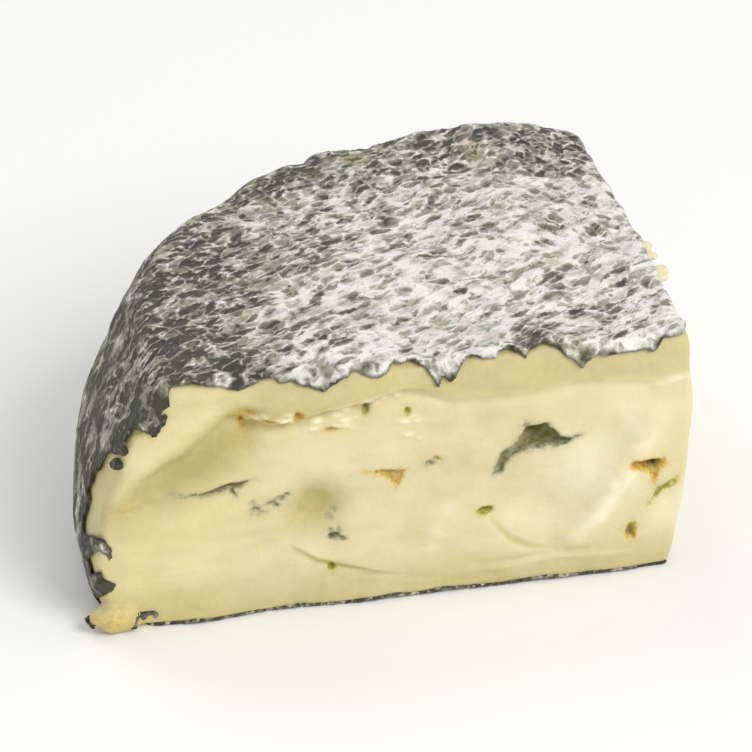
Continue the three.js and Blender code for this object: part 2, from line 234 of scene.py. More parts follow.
FOLD = (
    (-38.5, 34.2), (-41.7, 33.3), (-44.2, 31.5), (-46.3, 30.0), (-48.2, 28.3), (-50.3, 26.4), (-52.8, 25.1),
    (-55.5, 23.7), (-57.7, 21.9), (-59.5, 20.5), (-63.0, 19.6),
)
FOLD_WIDTHS = (2.2, 4.6)
SLIT = (
    (-52.6, 21.6), (-50.4, 21.2), (-48.6, 21.1), (-46.7, 21.4), (-45.2, 21.8), (-44.0, 22.1), (-43.0, 22.1),
    (-41.8, 22.6), (-40.6, 23.2),
)
SLIT_FORK = ((-44.6, 21.9), (-43.8, 21.1), (-43.0, 20.4))
LEDGE_X = (-46, -42, -36.6, -28, -20, -16, -12.4, -2, 7, 19)
LEDGE_Z = (33.8, 32.6, 32.2, 34.0, 35.5, 34.6, 33.1, 32.5, 33.3, 32.1)
CURL = ((-36.5, 11.4), (-34.8, 10.5), (-32, 8.5), (-29.5, 7.6), (-25.5, 6.1), (-22.6, 4.6), (-18.5, 3.7))
SHELL_CREASE = ((-7.3, 12.9), (-6.2, 10.9), (-3.8, 8.2), (-1.0, 6.4), (2.7, 5.4), (8.5, 5.2))
FOOT_CREASE = ((-14, 3.6), (-6, 3.9), (2, 4.3), (10, 4.0), (19, 3.6))
LEFT_CREASE = ((-61.4, 20.4), (-60.5, 19.4), (-58.3, 19.5), (-56.5, 20.1), (-54.7, 20.3), (-52.0, 21.4))
BASE_CREASES = (
    ((-27, 5.0), (-22, 4.4), (-16, 3.0), (-11, 2.6)),
    ((-24, 2.9), (-17, 1.9), (-12, 1.7)),
    ((-12, 5.2), (-4, 4.6), (4, 4.9), (12, 5.4)),
)
CORNER_STEP = ((15.5, 31.4), (18.5, 31.6), (20.5, 32.2), (23.0, 33.0))
RIDGE = ((17, 26), (14.8, 21.7), (12.7, 17.9), (10.5, 14.3), (8.6, 10.6), (5.6, 7.6))
# Hollows: middle, depth, half size across and up.
HOLLOWS = (
    (-31.6, 17.4, 1.9, 3.6, 3.8),
    (-37.5, 17.0, 0.5, 3.5, 2.2),
    (-0.5, 12.6, 2.1, 6.0, 4.6),
    (8.5, 21.5, 0.5, 5.0, 6.0),
    (-22, 12, 0.35, 6.0, 6.0),
    (-55, 12, -0.5, 7.0, 6.0),
    (-44, 27.6, -0.8, 7.0, 3.4),
    (-46, 12.5, 0.3, 2.0, 5.0),
)
# Fields of crumbs: middle, half size across and up, and number.
CRUMB_FIELDS = (
    (-29.2, 31.4, 3.2, 1.7, 13),
    (-21.0, 34.2, 4.2, 0.8, 9),
    (-18.2, 29.0, 1.4, 2.2, 6),
    (-38.2, 33.2, 4.2, 0.9, 12),
)
LEDGE_PROUD = 1.25
LEDGE_LOSS_AT_RIGHT = 0.75
RIDGE_HEIGHT = 1.5
RIDGE_WIDTH = 2.5
# Thin layers that end along a path: height, reach and side.
LAPS = (
    (CURL, 0.65, 2.2, -1.0),
    (SHELL_CREASE, 0.6, 2.4, 1.0),
    (FOOT_CREASE, 0.55, 1.6, 1.0),
    (CORNER_STEP, 0.5, 1.0, 1.0),
)
# Grooves: path, depth and width.
GROOVES = ((CURL, 0.6, 0.36), (SHELL_CREASE, 0.5, 0.36), (LEFT_CREASE, 0.35, 0.5)) + tuple(
    (path, 0.22, 0.45) for path in BASE_CREASES
)


def fold_strength(x):
    return smooth_step(-x, 37.5, 42.5) * (1.0 - 0.7 * smooth_step(-x, 51.0, 61.0))


def fold_bell(x, z):
    """The fold's cross profile: steep above its valley line, gentle below."""
    away, _, side = segment_offsets(x, z, FOLD)
    return np.exp(-((away / np.where(side > 0.0, FOLD_WIDTHS[0], FOLD_WIDTHS[1])) ** 1.6))


def fold_relief(x, z):
    return 2.4 * fold_strength(x) * fold_bell(x, z)


def groove(x, z, path, depth, width):
    away, share, _ = segment_offsets(x, z, path)
    fade = smooth_step(share, 0.0, 0.2) * (1.0 - smooth_step(share, 0.75, 1.0))
    return depth * fade * bell(away, width)


def lapped_edge(x, z, path, height, reach, lap_side):
    """A thin layer that ends along a path: it swells on one side and falls off sharply on the other."""
    away, share, side = segment_offsets(x, z, path)
    fade = smooth_step(share, 0.0, 0.2) * (1.0 - smooth_step(share, 0.7, 1.0))
    return -height * fade * np.where(side == lap_side, np.exp(-away / reach), bell(away, 0.3))


def crumbs(x, z):
    """Height of the small bright crumbs that the knife tore up on the front cut."""
    height = 0.0
    for row, (mid_x, mid_z, across, up, count) in enumerate(CRUMB_FIELDS):
        for n in range(count):
            at_x = mid_x + across * (2.0 * chance(n, row, 1.0) - 1.0)
            at_z = mid_z + up * (2.0 * chance(n, row, 2.0) - 1.0)
            size = 0.18 + 0.3 * chance(n, row, 3.0)
            turn = 1.2 * (chance(n, row, 4.0) - 0.5)
            u = (x - at_x) + turn * (z - at_z)
            height = np.maximum(height, 1.1 * size * bell(np.hypot(u / 2.0, z - at_z), size))
    return height


def front_relief(x, z):
    """How far the front cut lies behind its flat plane."""
    depth = waves(x, z, FRONT_WAVES) + 0.2 * lumps(x, 3.0, z, 4.3) + 0.06 * lumps(x, 9.0, 1.6 * z, 1.7)
    line = np.interp(x, LEDGE_X, LEDGE_Z) + 0.25 * lumps(x, 1.0, 0.0, 1.9)
    right = smooth_step(x, -17.0, -9.0)
    proud = (LEDGE_PROUD - LEDGE_LOSS_AT_RIGHT * right) * soft_step(x + 43.0, 1.5)
    depth = depth - proud * soft_step(z - line, 0.3 + 1.4 * right) * smooth_step(39.5 - z, 0.0, 5.0)
    depth = depth + 0.5 * proud * bell(z - line + 0.9, 0.8)
    depth = depth + fold_relief(x, z)
    for at_x, at_z, deep, across, up in HOLLOWS:
        depth = depth + deep * bell(np.hypot((x - at_x) / across, (z - at_z) / up), 1.0)
    away, _, _ = segment_offsets(x, z, RIDGE)
    depth = depth - RIDGE_HEIGHT * bell(away, RIDGE_WIDTH)
    for path, deep, width in GROOVES:
        depth = depth + groove(x, z, path, deep, width)
    for path, height, reach, lap_side in LAPS:
        depth = depth + lapped_edge(x, z, path, height, reach, lap_side)
    depth = depth + 0.7 * soft_step(z - 38.6, 0.8)
    depth = depth + 0.16 * np.maximum(0.0, -59.0 - x)
    return depth - crumbs(x, z)


def side_cut_x(y, z):
    bulge = SIDE_CUT_BULGE * np.sin(np.pi * np.clip(z, 0.0, WHEEL_HEIGHT) / SIDE_BULGE_SPAN)
    uneven = waves(y, z, SIDE_WAVES) + 0.2 * lumps(7.0, y, z, 4.6) + 0.05 * lumps(2.0, y, 1.7 * z, 1.6)
    return SIDE_CUT_X + bulge + uneven - (y - FRONT_CUT_Y) * np.tan(SIDE_CUT_LEAN)


# Pockets in the cuts. Each has a tint of its own, and how strong that tint is.

MOULD, AMBER, LIME = range(3)
BLUE_CAVE = (
    (-6.9, 19.2), (-5.9, 21.2), (-5.6, 22.8), (-3.9, 23.5), (-3.0, 24.5), (-2.2, 26.2), (-1.2, 26.9),
    (1.4, 27.0), (2.3, 25.6), (3.2, 24.2), (4.9, 23.9), (6.6, 24.4), (4.8, 23.2), (3.0, 22.8),
    (0.8, 22.9), (-1.8, 22.9), (-3.7, 22.3), (-4.9, 21.0), (-5.2, 19.6),
)
CAVE_DOT = ((-2.4, 27.0), (-1.7, 27.8), (-1.0, 27.1), (-1.6, 26.3))
AMBER_CAVE = (
    (12.8, 19.0), (13.6, 19.8), (15.4, 19.5), (18.2, 19.2), (18.5, 17.8), (17.7, 16.6), (17.1, 14.8),
    (16.6, 16.6), (15.0, 18.0),
)
LIME_STREAK = (
    (16.3, 11.3), (17.0, 12.6), (17.6, 14.1), (19.4, 14.6), (20.6, 15.3), (20.5, 14.1), (18.6, 13.1),
)
OCHRE_SPOT = (
    (-25.0, 22.3), (-21.2, 22.2), (-19.1, 21.6), (-19.2, 20.7), (-20.3, 19.1), (-21.1, 20.4), (-22.6, 21.5),
)
# Pockets of the front cut: outline, depth, how fast it narrows, tint and its strength.
FRONT_POCKETS = (
    (BLUE_CAVE, 4.6, 0.12, MOULD, 1.0),
    (CAVE_DOT, 1.0, 0.3, MOULD, 1.0),
    (AMBER_CAVE, 3.0, 0.45, AMBER, 1.0),
    (LIME_STREAK, 1.0, 0.3, LIME, 1.0),
    (OCHRE_SPOT, 1.1, 0.6, AMBER, 0.85),
)
CAVE_MIDDLE = (0.3, 25.6)
CAVE_SHALLOW = 1.3
CAVE_REACH = 3.4

# Small holes: place along the cut, height, half width, half height, depth, tint and its strength.
FRONT_HOLES = (
    (13.9, 6.9, 0.75, 1.15, 1.5, AMBER, 0.8),
    (13.9, 8.0, 0.6, 0.4, 0.7, LIME, 0.9),
    (-7.5, 13.0, 0.95, 0.7, 1.3, LIME, 1.0),
    (-29.3, 12.0, 0.75, 0.5, 1.1, MOULD, 1.0),
    (-28.3, 11.6, 0.45, 0.3, 0.7, MOULD, 0.9),
    (-29.9, 12.9, 0.3, 0.3, 0.4, MOULD, 0.8),
    (-28.8, 12.9, 0.25, 0.35, 0.4, MOULD, 0.7),
    (-30.0, 14.9, 0.4, 0.35, 0.4, MOULD, 0.7),
    (-29.2, 16.0, 0.35, 0.3, 0.3, MOULD, 0.6),
    (-40.6, 18.0, 0.65, 0.5, 0.6, MOULD, 0.9),
    (-40.9, 19.1, 0.4, 0.4, 0.4, MOULD, 0.7),
    (-39.6, 17.3, 0.4, 0.3, 0.4, MOULD, 0.8),
    (-38.4, 18.6, 0.6, 0.35, 0.7, MOULD, 0.9),
    (-37.5, 18.1, 0.35, 0.3, 0.4, MOULD, 0.8),
    (-37.0, 19.2, 0.55, 0.4, 0.6, MOULD, 0.9),
    (-36.0, 19.8, 0.4, 0.3, 0.5, MOULD, 0.7),
    (-29.8, 7.2, 0.5, 0.75, 1.0, LIME, 0.9),
    (-24.9, 32.6, 0.5, 0.8, 1.2, LIME, 0.8),
    (-24.7, 33.0, 0.35, 0.45, 1.2, MOULD, 0.9),
    (-18.8, 31.5, 0.45, 0.55, 0.8, LIME, 0.8),
    (-15.6, 22.3, 0.5, 0.3, 0.7, MOULD, 0.8),
    (-14.6, 22.9, 0.55, 0.28, 0.7, AMBER, 0.6),
    (-42.0, 32.2, 0.35, 0.8, 0.8, AMBER, 0.9),
    (-41.2, 33.9, 0.6, 0.3, 0.7, AMBER, 0.7),
    (-38.6, 32.6, 1.1, 0.4, 1.0, AMBER, 1.0),
    (-36.6, 32.3, 0.8, 0.35, 0.9, AMBER, 1.0),
    (-34.6, 33.2, 0.6, 0.8, 0.8, AMBER, 0.9),
    (-29.8, 30.0, 0.8, 0.35, 0.6, AMBER, 0.6),
    (-56.8, 33.0, 0.5, 0.4, 0.6, LIME, 0.6),
)
SIDE_HOLES = (
    (6, 24, 3.4, 1.5, 3.2, MOULD, 1.0),
    (10.5, 26.2, 1.6, 0.9, 2.0, MOULD, 1.0),
    (24, 13, 2.2, 1.6, 2.6, AMBER, 1.0),
    (35, 27, 4.0, 1.3, 3.2, MOULD, 1.0),
    (31, 25.8, 1.4, 0.8, 1.4, MOULD, 1.0),
    (47, 17, 1.7, 2.1, 2.4, MOULD, 0.9),
    (14, 31, 1.5, 0.9, 1.5, LIME, 0.9),
    (17, 18, 0.7, 0.5, 0.9, MOULD, 0.9),
    (42, 9, 0.9, 0.6, 0.9, AMBER, 0.8),
    (2, 12, 0.8, 0.6, 1.0, LIME, 0.8),
)


def pocket_fields(x, y, z):
    """Yields each pocket's signed distance at some places, with its tint and the strength of that."""
    below_front = y - FRONT_CUT_Y - front_relief(x, z)
    below_side = side_cut_x(y, z) - x
    ragged = 0.28 * lumps(x, y, z, 1.3) + 0.16 * lumps(x, y, z, 0.7)
    for outline, depth, taper, tint, strength in FRONT_POCKETS:
        flat = outline_distance(x, z, list(outline))
        if outline is BLUE_CAVE:
            from_middle = np.hypot(x - CAVE_MIDDLE[0], z - CAVE_MIDDLE[1])
            depth = CAVE_SHALLOW + (depth - CAVE_SHALLOW) * bell(from_middle, CAVE_REACH)
        shape = smooth_max(flat + taper * np.maximum(below_front, 0.0), below_front - depth, 0.8)
        yield shape + ragged, tint, strength
    for path, widest, deepest in ((SLIT, 0.55, 2.4), (SLIT_FORK, 0.26, 1.0)):
        away, share, _ = segment_offsets(x, z - 0.25 * np.maximum(below_front, 0.0), path)
        swell = smooth_step(share, 0.0, 0.6) * (1.0 - smooth_step(share, 0.65, 1.0))
        yield smooth_max(away - widest * swell + 0.3 * ragged, below_front - deepest * swell, 0.3), MOULD, 0.8
    for across, deep, holes in ((x, below_front, FRONT_HOLES), (y, below_side, SIDE_HOLES)):
        for at, up, wide, high, depth, tint, strength in holes:
            spread = np.sqrt(((across - at) / wide) ** 2 + ((z - up) / high) ** 2 + (deep / depth) ** 2)
            yield (spread - 1.0) * min(wide, high, depth) + 1.4 * ragged * min(wide, high, 0.9), tint, strength


def lump_at_foot(x, y, z):
    """The crumbly lump of paste pushed out at the foot of the front cut's far end."""
    stretch = np.sqrt(((x + 60.6) / 3.6) ** 2 + ((y + 9.4) / 2.3) ** 2 + ((z - 2.3) / 2.4) ** 2)
    return (stretch - 1.0) * 2.4 + 0.35 * lumps(x, y, z, 1.4)


# Flakes: middle and half sizes.
FLAKES = (
    (21.2, 14.2, 39.0, 1.5, 1.6, 0.8),
    (21.7, 12.7, 38.8, 1.2, 0.8, 0.5),
    (21.4, 7.6, 39.0, 1.4, 1.0, 0.7),
    (21.6, 6.2, 38.8, 0.9, 0.7, 0.5),
)


def flakes(x, y, z):
    """Crumbs of paste that the knife pushed out over the top edge of the side cut."""
    nearest = np.full(np.shape(x + y + z), 9.0)
    for at_x, at_y, at_z, wide, long, high in FLAKES:
        stretch = np.sqrt(((x - at_x) / wide) ** 2 + ((y - at_y) / long) ** 2 + ((z - at_z) / high) ** 2)
        nearest = np.minimum(nearest, (stretch - 1.0) * high)
    return nearest + 0.3 * lumps(x, y, z, 0.9)


def plain_paste_distance(x, y, z, wheel):
    """The paste without its pockets."""
    front = FRONT_CUT_Y + front_relief(x, z) - y
    side = x - side_cut_x(y, z)
    body = smooth_max(wheel + skin(z), front, EDGE_ROUNDING)
    body = smooth_max(body, side, EDGE_ROUNDING + BACK_ROUNDING * smooth_step(y, 42.0, 58.0))
    return smooth_min(body, smooth_max(lump_at_foot(x, y, z), 0.15 - z, 0.3), 0.5)


# The rind's torn border. On each cut: place along the cut, and how far it hangs down from the paste's top edge.

FRONT_BORDER = (
    (-56, 1.0), (-51.6, -0.2), (-50, 0.2), (-47.8, 0.5),
    (-45.1, 0.7), (-42.9, 1.3), (-41.5, 0.9), (-40.2, 0.4),
    (-37.6, 0.2), (-36.9, 1.0), (-35.2, 1.1), (-33.6, 2.0),
    (-30.9, 2.6), (-29, 2.0), (-27.4, 1.6), (-26.5, 0.6),
    (-25, 1.1), (-22.9, 1.5), (-22, 1.1), (-20.8, -0.1),
    (-18, -0.5), (-16.7, 0.3), (-15.5, 1.7), (-15.0, 3.3),
    (-14.6, 3.4), (-14.1, 1.9), (-13.2, 2.8), (-12.3, 2.0),
    (-11.7, 1.1), (-10.2, -0.3), (-8.6, 0.1), (-6.3, 1.2),
    (-5.8, 0.2), (-4.1, -1.1), (-3.0, 0.1), (-2.1, 1.3),
    (-1.4, -0.3), (-0.2, -0.2), (0.7, -0.7), (1.6, 0.3),
    (3.2, 1.4), (5.9, 3.3), (6.6, 2.2), (8.1, 1.5), (10.8, 1.6),
    (13, 1.4), (15, 1.7), (16.1, 2.1), (17, 1.2),
    (17.8, 0.3), (19.4, 0.3), (20.6, -0.1), (21.4, -1.4), (23.0, -2.0),
)
SIDE_BORDER = (
    (-12, -1.2), (-9.5, -0.9), (-8.0, -0.6), (-5.5, -0.3), (-3, 0.4), (-1, 1.4), (1.0, 0.8), (4.5, 0.3),
    (6.2, 1.2), (8, 2.8), (10.5, 1.1), (13.6, 0.3),
    (15.4, 1.5), (17, 0.6), (22, 1.9), (25, 0.4), (29, 0.8),
    (33, 1.2), (36, 3.4), (39, 1.6), (42, 0.5), (46, 1.6),
    (50, 4.0), (54, 3.2), (62, 2.0),
)
# Where the paste meets the rind at the far end of the front cut, as seen from the front and above.
LEFT_BORDER = (
    (-50.8, 40.0), (-52.1, 39.1), (-51.3, 37.1), (-51.8, 35.9), (-53.2, 36.4), (-53.8, 36.0), (-53.2, 34.5),
    (-53.5, 33.1), (-55.0, 32.1), (-55.6, 33.4), (-57.9, 33.8), (-58.5, 32.0), (-58.2, 30.5), (-58.9, 29.9),
    (-60.8, 29.8), (-61.9, 29.2), (-62.4, 27.6), (-63.6, 27.0), (-63.9, 25.6), (-64.7, 24.5), (-65.1, 23.6),
    (-64.5, 22.1), (-65.1, 20.4), (-65.6, 19.4), (-65.5, 17.5), (-65.3, 16.4), (-63.6, 16.2), (-61.8, 15.4),
    (-60.9, 13.9), (-60.8, 12.5), (-61.4, 12.1), (-61.8, 13.2), (-62.8, 13.9), (-63.9, 13.4), (-64.3, 12.2),
    (-64.3, 10.9), (-63.9, 9.9), (-62.8, 10.3), (-62.3, 9.4), (-60.8, 8.3), (-61.1, 7.2), (-62.2, 6.6),
    (-63.3, 5.6), (-64.1, 4.3), (-64.6, 3.0), (-65.0, 0.0),
)
LEFT_RIND = LEFT_BORDER + ((-65.0, -9.0), (-99.0, -9.0), (-99.0, 99.0), (-44.0, 99.0), (-44.0, 42.0))
# How far aside and up a place behind the front cut shows, for each millimetre that it lies behind.
SEEN_ASIDE = 0.21
SEEN_HIGHER = 0.64
# Teeth of the border: pitch, height and seed.
TEETH = ((1.5, 0.16, 5.0), (0.75, 0.24, 6.0))


def border_drop(along, border, seed):
    """How far the rind hangs over a cut at a place along it."""
    places, drops = zip(*border)
    return np.interp(along, places, drops) + sum(h * jagged(along, pitch, n + seed) for pitch, h, n in TEETH)


# Scraps of rind on the paste: path and half width.
FLECKS = (
    (((-58.3, 1.4), (-57.8, 2.8), (-56.9, 2.5), (-55.5, 2.7), (-55.1, 1.9)), 0.4),
    (((-55.4, 33.0), (-54.6, 32.3)), 0.6),
    (((-53.6, 34.2), (-53.0, 35.5)), 0.4),
    (((-61.4, 26.3), (-60.6, 27.3), (-59.4, 27.9)), 0.3),
    (((-65.2, 24.8), (-64.4, 23.0)), 0.5),
)
FLECK_REACH = 1.2
FOOT_TEETH = ((0.9, 0.25, 0.0), (2.3, 0.35, 1.0), (7.0, 0.4, 2.0))


def foot_teeth(along, seed):
    """How far the thin rind under the wheel climbs up a cut at a place along it."""
    return sum(h * jagged(along, pitch, n + seed) for pitch, h, n in FOOT_TEETH)


def fleck_cover(x, z, behind_front):
    """Positive on the scraps of rind that stick to the far end of the front cut."""
    ragged = 0.45 * lumps(x, 4.0, z, 1.9) + 0.3 * lumps(x, 8.0, z, 0.8)
    best = np.full(np.shape(behind_front), -9.0)
    for path, width in FLECKS:
        away, _, _ = segment_offsets(x, z, path)
        best = np.maximum(best, width + ragged - away - np.maximum(0.0, behind_front - FLECK_REACH))
    return best


def left_cover(x, z, behind_front):
    """Positive on the rind round the far end of the front cut."""
    back = np.maximum(behind_front, 0.0)
    seen_x = x - SEEN_ASIDE * back
    seen_z = z + SEEN_HIGHER * back
    ragged = 0.3 * lumps(seen_x, 4.0, seen_z, 1.3) + 0.2 * lumps(seen_x, 8.0, seen_z, 0.7)
    return ragged - outline_distance(seen_x, seen_z, LEFT_RIND) + 0.4 * np.maximum(back - 5.0, 0.0)


def masked(function, weight, *places):
    """A function of places times a weight, worked out only where the weight isn't zero."""
    weight, *places = np.broadcast_arrays(weight, *places)
    value = np.zeros(weight.shape)
    used = weight > 0.0
    value[used] = weight[used] * function(*(place[used] for place in places))
    return value


def rind_cover(x, y, z, wheel):
    """Positive where the rind covers the paste, as a rough distance to its torn border."""
    behind_front = y - FRONT_CUT_Y - front_relief(x, z)
    behind_side = side_cut_x(y, z) - x
    ragged = 0.2 * lumps(x, 4.0, z, 1.6) + 0.15 * lumps(x, 8.0, z, 0.75)
    upper = smooth_step(z, 27.0, 31.0)
    left = smooth_step(-x, 49.0, 54.0) * smooth_step(z, 1.0, 3.0)
    low = smooth_step(6.0 - z, 0.0, 3.0)
    drop = border_drop(x, FRONT_BORDER, 0.0) * upper + low * foot_teeth(x, 13.0)
    foot = 5.0 * bell(x + 60.6, 3.3) * low
    inward = np.maximum(behind_front, 0.0) + 0.3 * np.minimum(behind_front, 0.0)
    front = (wheel + skin(z) + 0.85 * inward + drop) * (1.0 - left) + ragged - foot
    front = front + masked(left_cover, left, x, z, behind_front)
    front = np.maximum(front, fleck_cover(x, z, behind_front))
    ragged_side = 0.2 * lumps(6.0, y, z, 1.6) + 0.15 * lumps(2.0, y, z, 0.75)
    side_drop = border_drop(y, SIDE_BORDER, 2.0) * upper + low * foot_teeth(y, 23.0)
    inward = np.maximum(behind_side, 0.0) + 0.3 * np.minimum(behind_side, 0.0)
    side = wheel + skin(z) + 0.85 * inward + side_drop + ragged_side
    return np.minimum(front, side)


# Meshing.


def grid_axes():
    fine = np.arange(LOW_CORNER[1], Y_FINE_TO, Y_FINE_STEP)
    coarse = np.arange(fine[-1] + Y_STEP, HIGH_CORNER[1], Y_STEP)
    return (
        np.arange(LOW_CORNER[0], HIGH_CORNER[0], X_STEP),
        np.concatenate([fine, coarse]),
        np.arange(LOW_CORNER[2], HIGH_CORNER[2], Z_STEP),
    )


def surface_net(field, axes):
    """Vertices and four-sided faces of the surface where a field on a grid passes through zero."""
    inside = field < 0.0
    shape = np.array(field.shape) - 1
    count = np.zeros(shape, np.int8)
    for di in (0, 1):
        for dj in (0, 1):
            for dk in (0, 1):
                count += inside[di:di + shape[0], dj:dj + shape[1], dk:dk + shape[2]]
    cells = np.argwhere((count > 0) & (count < 8))
    number = np.full(shape, -1, np.int32)
    number[tuple(cells.T)] = np.arange(len(cells))
    points = np.zeros((len(cells), 3))
    hits = np.zeros((len(cells), 1))
    for axis in range(3):
        others = [a for a in range(3) if a != axis]
        for p in (0, 1):
            for q in (0, 1):
                start = cells.copy()
                start[:, others[0]] += p
                start[:, others[1]] += q
                end = start.copy()
                end[:, axis] += 1
                a = field[tuple(start.T)]
                b = field[tuple(end.T)]
                crossed = (a < 0.0) != (b < 0.0)
                share = np.where(crossed, a / np.where(crossed, a - b, 1.0), 0.0)[:, None]
                low = np.stack([axes[n][start[:, n]] for n in range(3)], axis=1)
                high = np.stack([axes[n][end[:, n]] for n in range(3)], axis=1)
                points += np.where(crossed[:, None], low + share * (high - low), 0.0)
                hits += crossed[:, None]
    points /= hits
    quads = []
    for axis in range(3):
        b_axis, c_axis = (axis + 1) % 3, (axis + 2) % 3
        first = np.take(inside, range(shape[axis]), axis=axis)
        second = np.take(inside, range(1, shape[axis] + 1), axis=axis)
        edges = np.argwhere(first != second)
        keep = (edges[:, b_axis] > 0) & (edges[:, c_axis] > 0)
        keep &= (edges[:, b_axis] < shape[b_axis]) & (edges[:, c_axis] < shape[c_axis])
        edges = edges[keep]
        corners = []
        for db, dc in ((-1, -1), (0, -1), (0, 0), (-1, 0)):
            cell = edges.copy()
            cell[:, b_axis] += db
            cell[:, c_axis] += dc
            corners.append(number[tuple(cell.T)])
        faces = np.stack(corners, axis=1)
        outward = first[tuple(edges.T)]
        quads.append(np.where(outward[:, None], faces, faces[:, ::-1]))
    return points, np.concatenate(quads)


def mesh_object(name, points, faces):
    """A smooth-shaded object from points in the wheel's frame, in millimetres."""
    mesh = bpy.data.meshes.new(name)
    placed = (points + np.array([AXIS_X, AXIS_Y, 0.0])) * METRES
    corners = faces.shape[1]
    mesh.vertices.add(len(placed))
    mesh.vertices.foreach_set("co", placed.astype(np.float32).ravel())
    mesh.loops.add(faces.size)
    mesh.loops.foreach_set("vertex_index", faces.astype(np.int32).ravel())
    mesh.polygons.add(len(faces))
    mesh.polygons.foreach_set("loop_start", np.arange(0, faces.size, corners, dtype=np.int32))
    mesh.polygons.foreach_set("loop_total", np.full(len(faces), corners, dtype=np.int32))
    mesh.update(calc_edges=True)
    mesh.validate()
    mesh.polygons.foreach_set("use_smooth", np.ones(len(mesh.polygons), dtype=bool))
    obj = bpy.data.objects.new(name, mesh)
    bpy.context.collection.objects.link(obj)
    return obj


def mesh_points(obj):
    """An object's vertices and normals, back in the wheel's frame, in millimetres."""
    mesh = obj.data
    points = np.empty(len(mesh.vertices) * 3, np.float32)
    mesh.vertices.foreach_get("co", points)
    normals = np.empty(len(mesh.vertices) * 3, np.float32)
    mesh.vertex_normals.foreach_get("vector", normals)
    points = points.reshape(-1, 3).astype(float) / METRES - np.array([AXIS_X, AXIS_Y, 0.0])
    return points, normals.reshape(-1, 3).astype(float)


def place_points(obj, points):
    placed = (points + np.array([AXIS_X, AXIS_Y, 0.0])) * METRES
    obj.data.vertices.foreach_set("co", placed.astype(np.float32).ravel())
    obj.data.update()


def thin_out(obj, hidden, kept_share):
    """Merges the faces of the vertices that nothing shows, down to a share of them."""
    group = obj.vertex_groups.new(name="hidden")
    group.add([int(i) for i in np.flatnonzero(hidden)], 1.0, "REPLACE")
    share = 1.0 - float(np.mean(hidden)) * (1.0 - kept_share)
    decimate = obj.modifiers.new("thin", "DECIMATE")
    decimate.ratio = share
    decimate.vertex_group = group.name
    bpy.context.view_layer.objects.active = obj
    bpy.ops.object.modifier_apply(modifier=decimate.name)
    obj.vertex_groups.clear()
    obj.data.polygons.foreach_set("use_smooth", np.ones(len(obj.data.polygons), dtype=bool))


def store(obj, name, values):
    layer = obj.data.attributes.new(name, "FLOAT", "POINT")
    layer.data.foreach_set("value", np.asarray(values, np.float32))


# Fine relief of the rind: worm-like wrinkles, and pits in rows left by the mat that the wheel lay on.

ROW_DIRECTION = np.radians(31.0)
BACK_ROW_DIRECTION = np.radians(-50.0)
ROW_PITCH = 2.5
PIT_PITCH = 2.3
PIT_HALF_LENGTH = 0.6
PIT_HALF_WIDTH = 0.3
WRINKLE_WAVES = 26
WRINKLE_LENGTHS = (2.0, 4.2)
WRINKLE_SPREAD = np.radians(42.0)
VEIN_HEIGHT = 0.08
WORM_HEIGHT = 0.05
PIT_DEPTH = 0.26


def wrinkles(points, seed, lengths, spread):
    """Random waves of some lengths, most of them across the rows, with an average height of one."""
    random = np.random.default_rng(seed)
    total = np.zeros(len(points))
    for _ in range(WRINKLE_WAVES):
        angle = ROW_DIRECTION + np.pi / 2 + random.normal(0.0, spread)
        tilt = random.uniform(-0.8, 0.8)
        number = 2.0 * np.pi / random.uniform(*lengths)
        level = np.cos(tilt)
        wave = number * np.array([np.cos(angle) * level, np.sin(angle) * level, np.sin(tilt)])
        total += np.cos(points @ wave + random.uniform(0.0, 2.0 * np.pi))
    return total / np.sqrt(WRINKLE_WAVES / 2.0)


def row_pits(points, density, direction, seed):
    """Depth between 0 and 1 of the short pits that lie in rows on the top."""
    x, y, _ = points.T
    bent = 1.2 * lumps(x, y, seed, 14.0) + 0.5 * lumps(x, y, seed, 5.0)
    along = x * np.cos(direction) + y * np.sin(direction)
    across = y * np.cos(direction) - x * np.sin(direction) + bent
    row = np.round(across / ROW_PITCH)
    depth = np.zeros(len(points))
    for dr in (-1, 0, 1):
        this_row = row + dr
        shift = PIT_PITCH * chance(this_row, seed, 1.0)
        place = np.round((along + shift) / PIT_PITCH)
        for dp in (-1, 0, 1):
            n = place + dp
            at_along = n * PIT_PITCH - shift + 1.2 * (chance(this_row, n, seed + 2.0) - 0.5)
            at_across = this_row * ROW_PITCH + 1.1 * (chance(this_row, n, seed + 3.0) - 0.5)
            size = 0.5 + 0.95 * chance(this_row, n, seed + 4.0) ** 1.5
            turn = 0.7 * (chance(this_row, n, seed + 5.0) - 0.5)
            u = along - at_along
            v = across - at_across - turn * u
            away = np.hypot(np.maximum(np.abs(u) - PIT_HALF_LENGTH * size, 0.0), v) / (PIT_HALF_WIDTH * size)
            there = chance(this_row, n, seed + 6.0) < density
            dark = 0.6 + 0.4 * chance(this_row, n, seed + 7.0)
            depth = np.maximum(depth, np.where(there, dark * np.exp(-((away / 1.15) ** 3)), 0.0))
    return depth


def keep_large_parts(points, faces, least):
    """Drops loose scraps of a mesh that have fewer vertices than a given number."""
    label = np.arange(len(points))
    edges = np.concatenate([faces[:, [n, (n + 1) % 4]] for n in range(4)])
    while True:
        low = np.minimum(label[edges[:, 0]], label[edges[:, 1]])
        new = label.copy()
        np.minimum.at(new, edges[:, 0], low)
        np.minimum.at(new, edges[:, 1], low)
        new = new[new]
        if np.array_equal(new, label):
            break
        label = new
    size = np.bincount(label, minlength=len(points))
    keep = size[label] >= least
    number = np.cumsum(keep) - 1
    return points[keep], number[faces[keep[faces[:, 0]]]]


# The paste.


def block(axes, low, high):
    """The slices of the grid between two corners."""
    return tuple(
        slice(int(np.searchsorted(axis, a)), int(np.searchsorted(axis, b)))
        for axis, a, b in zip(axes, low, high)
    )


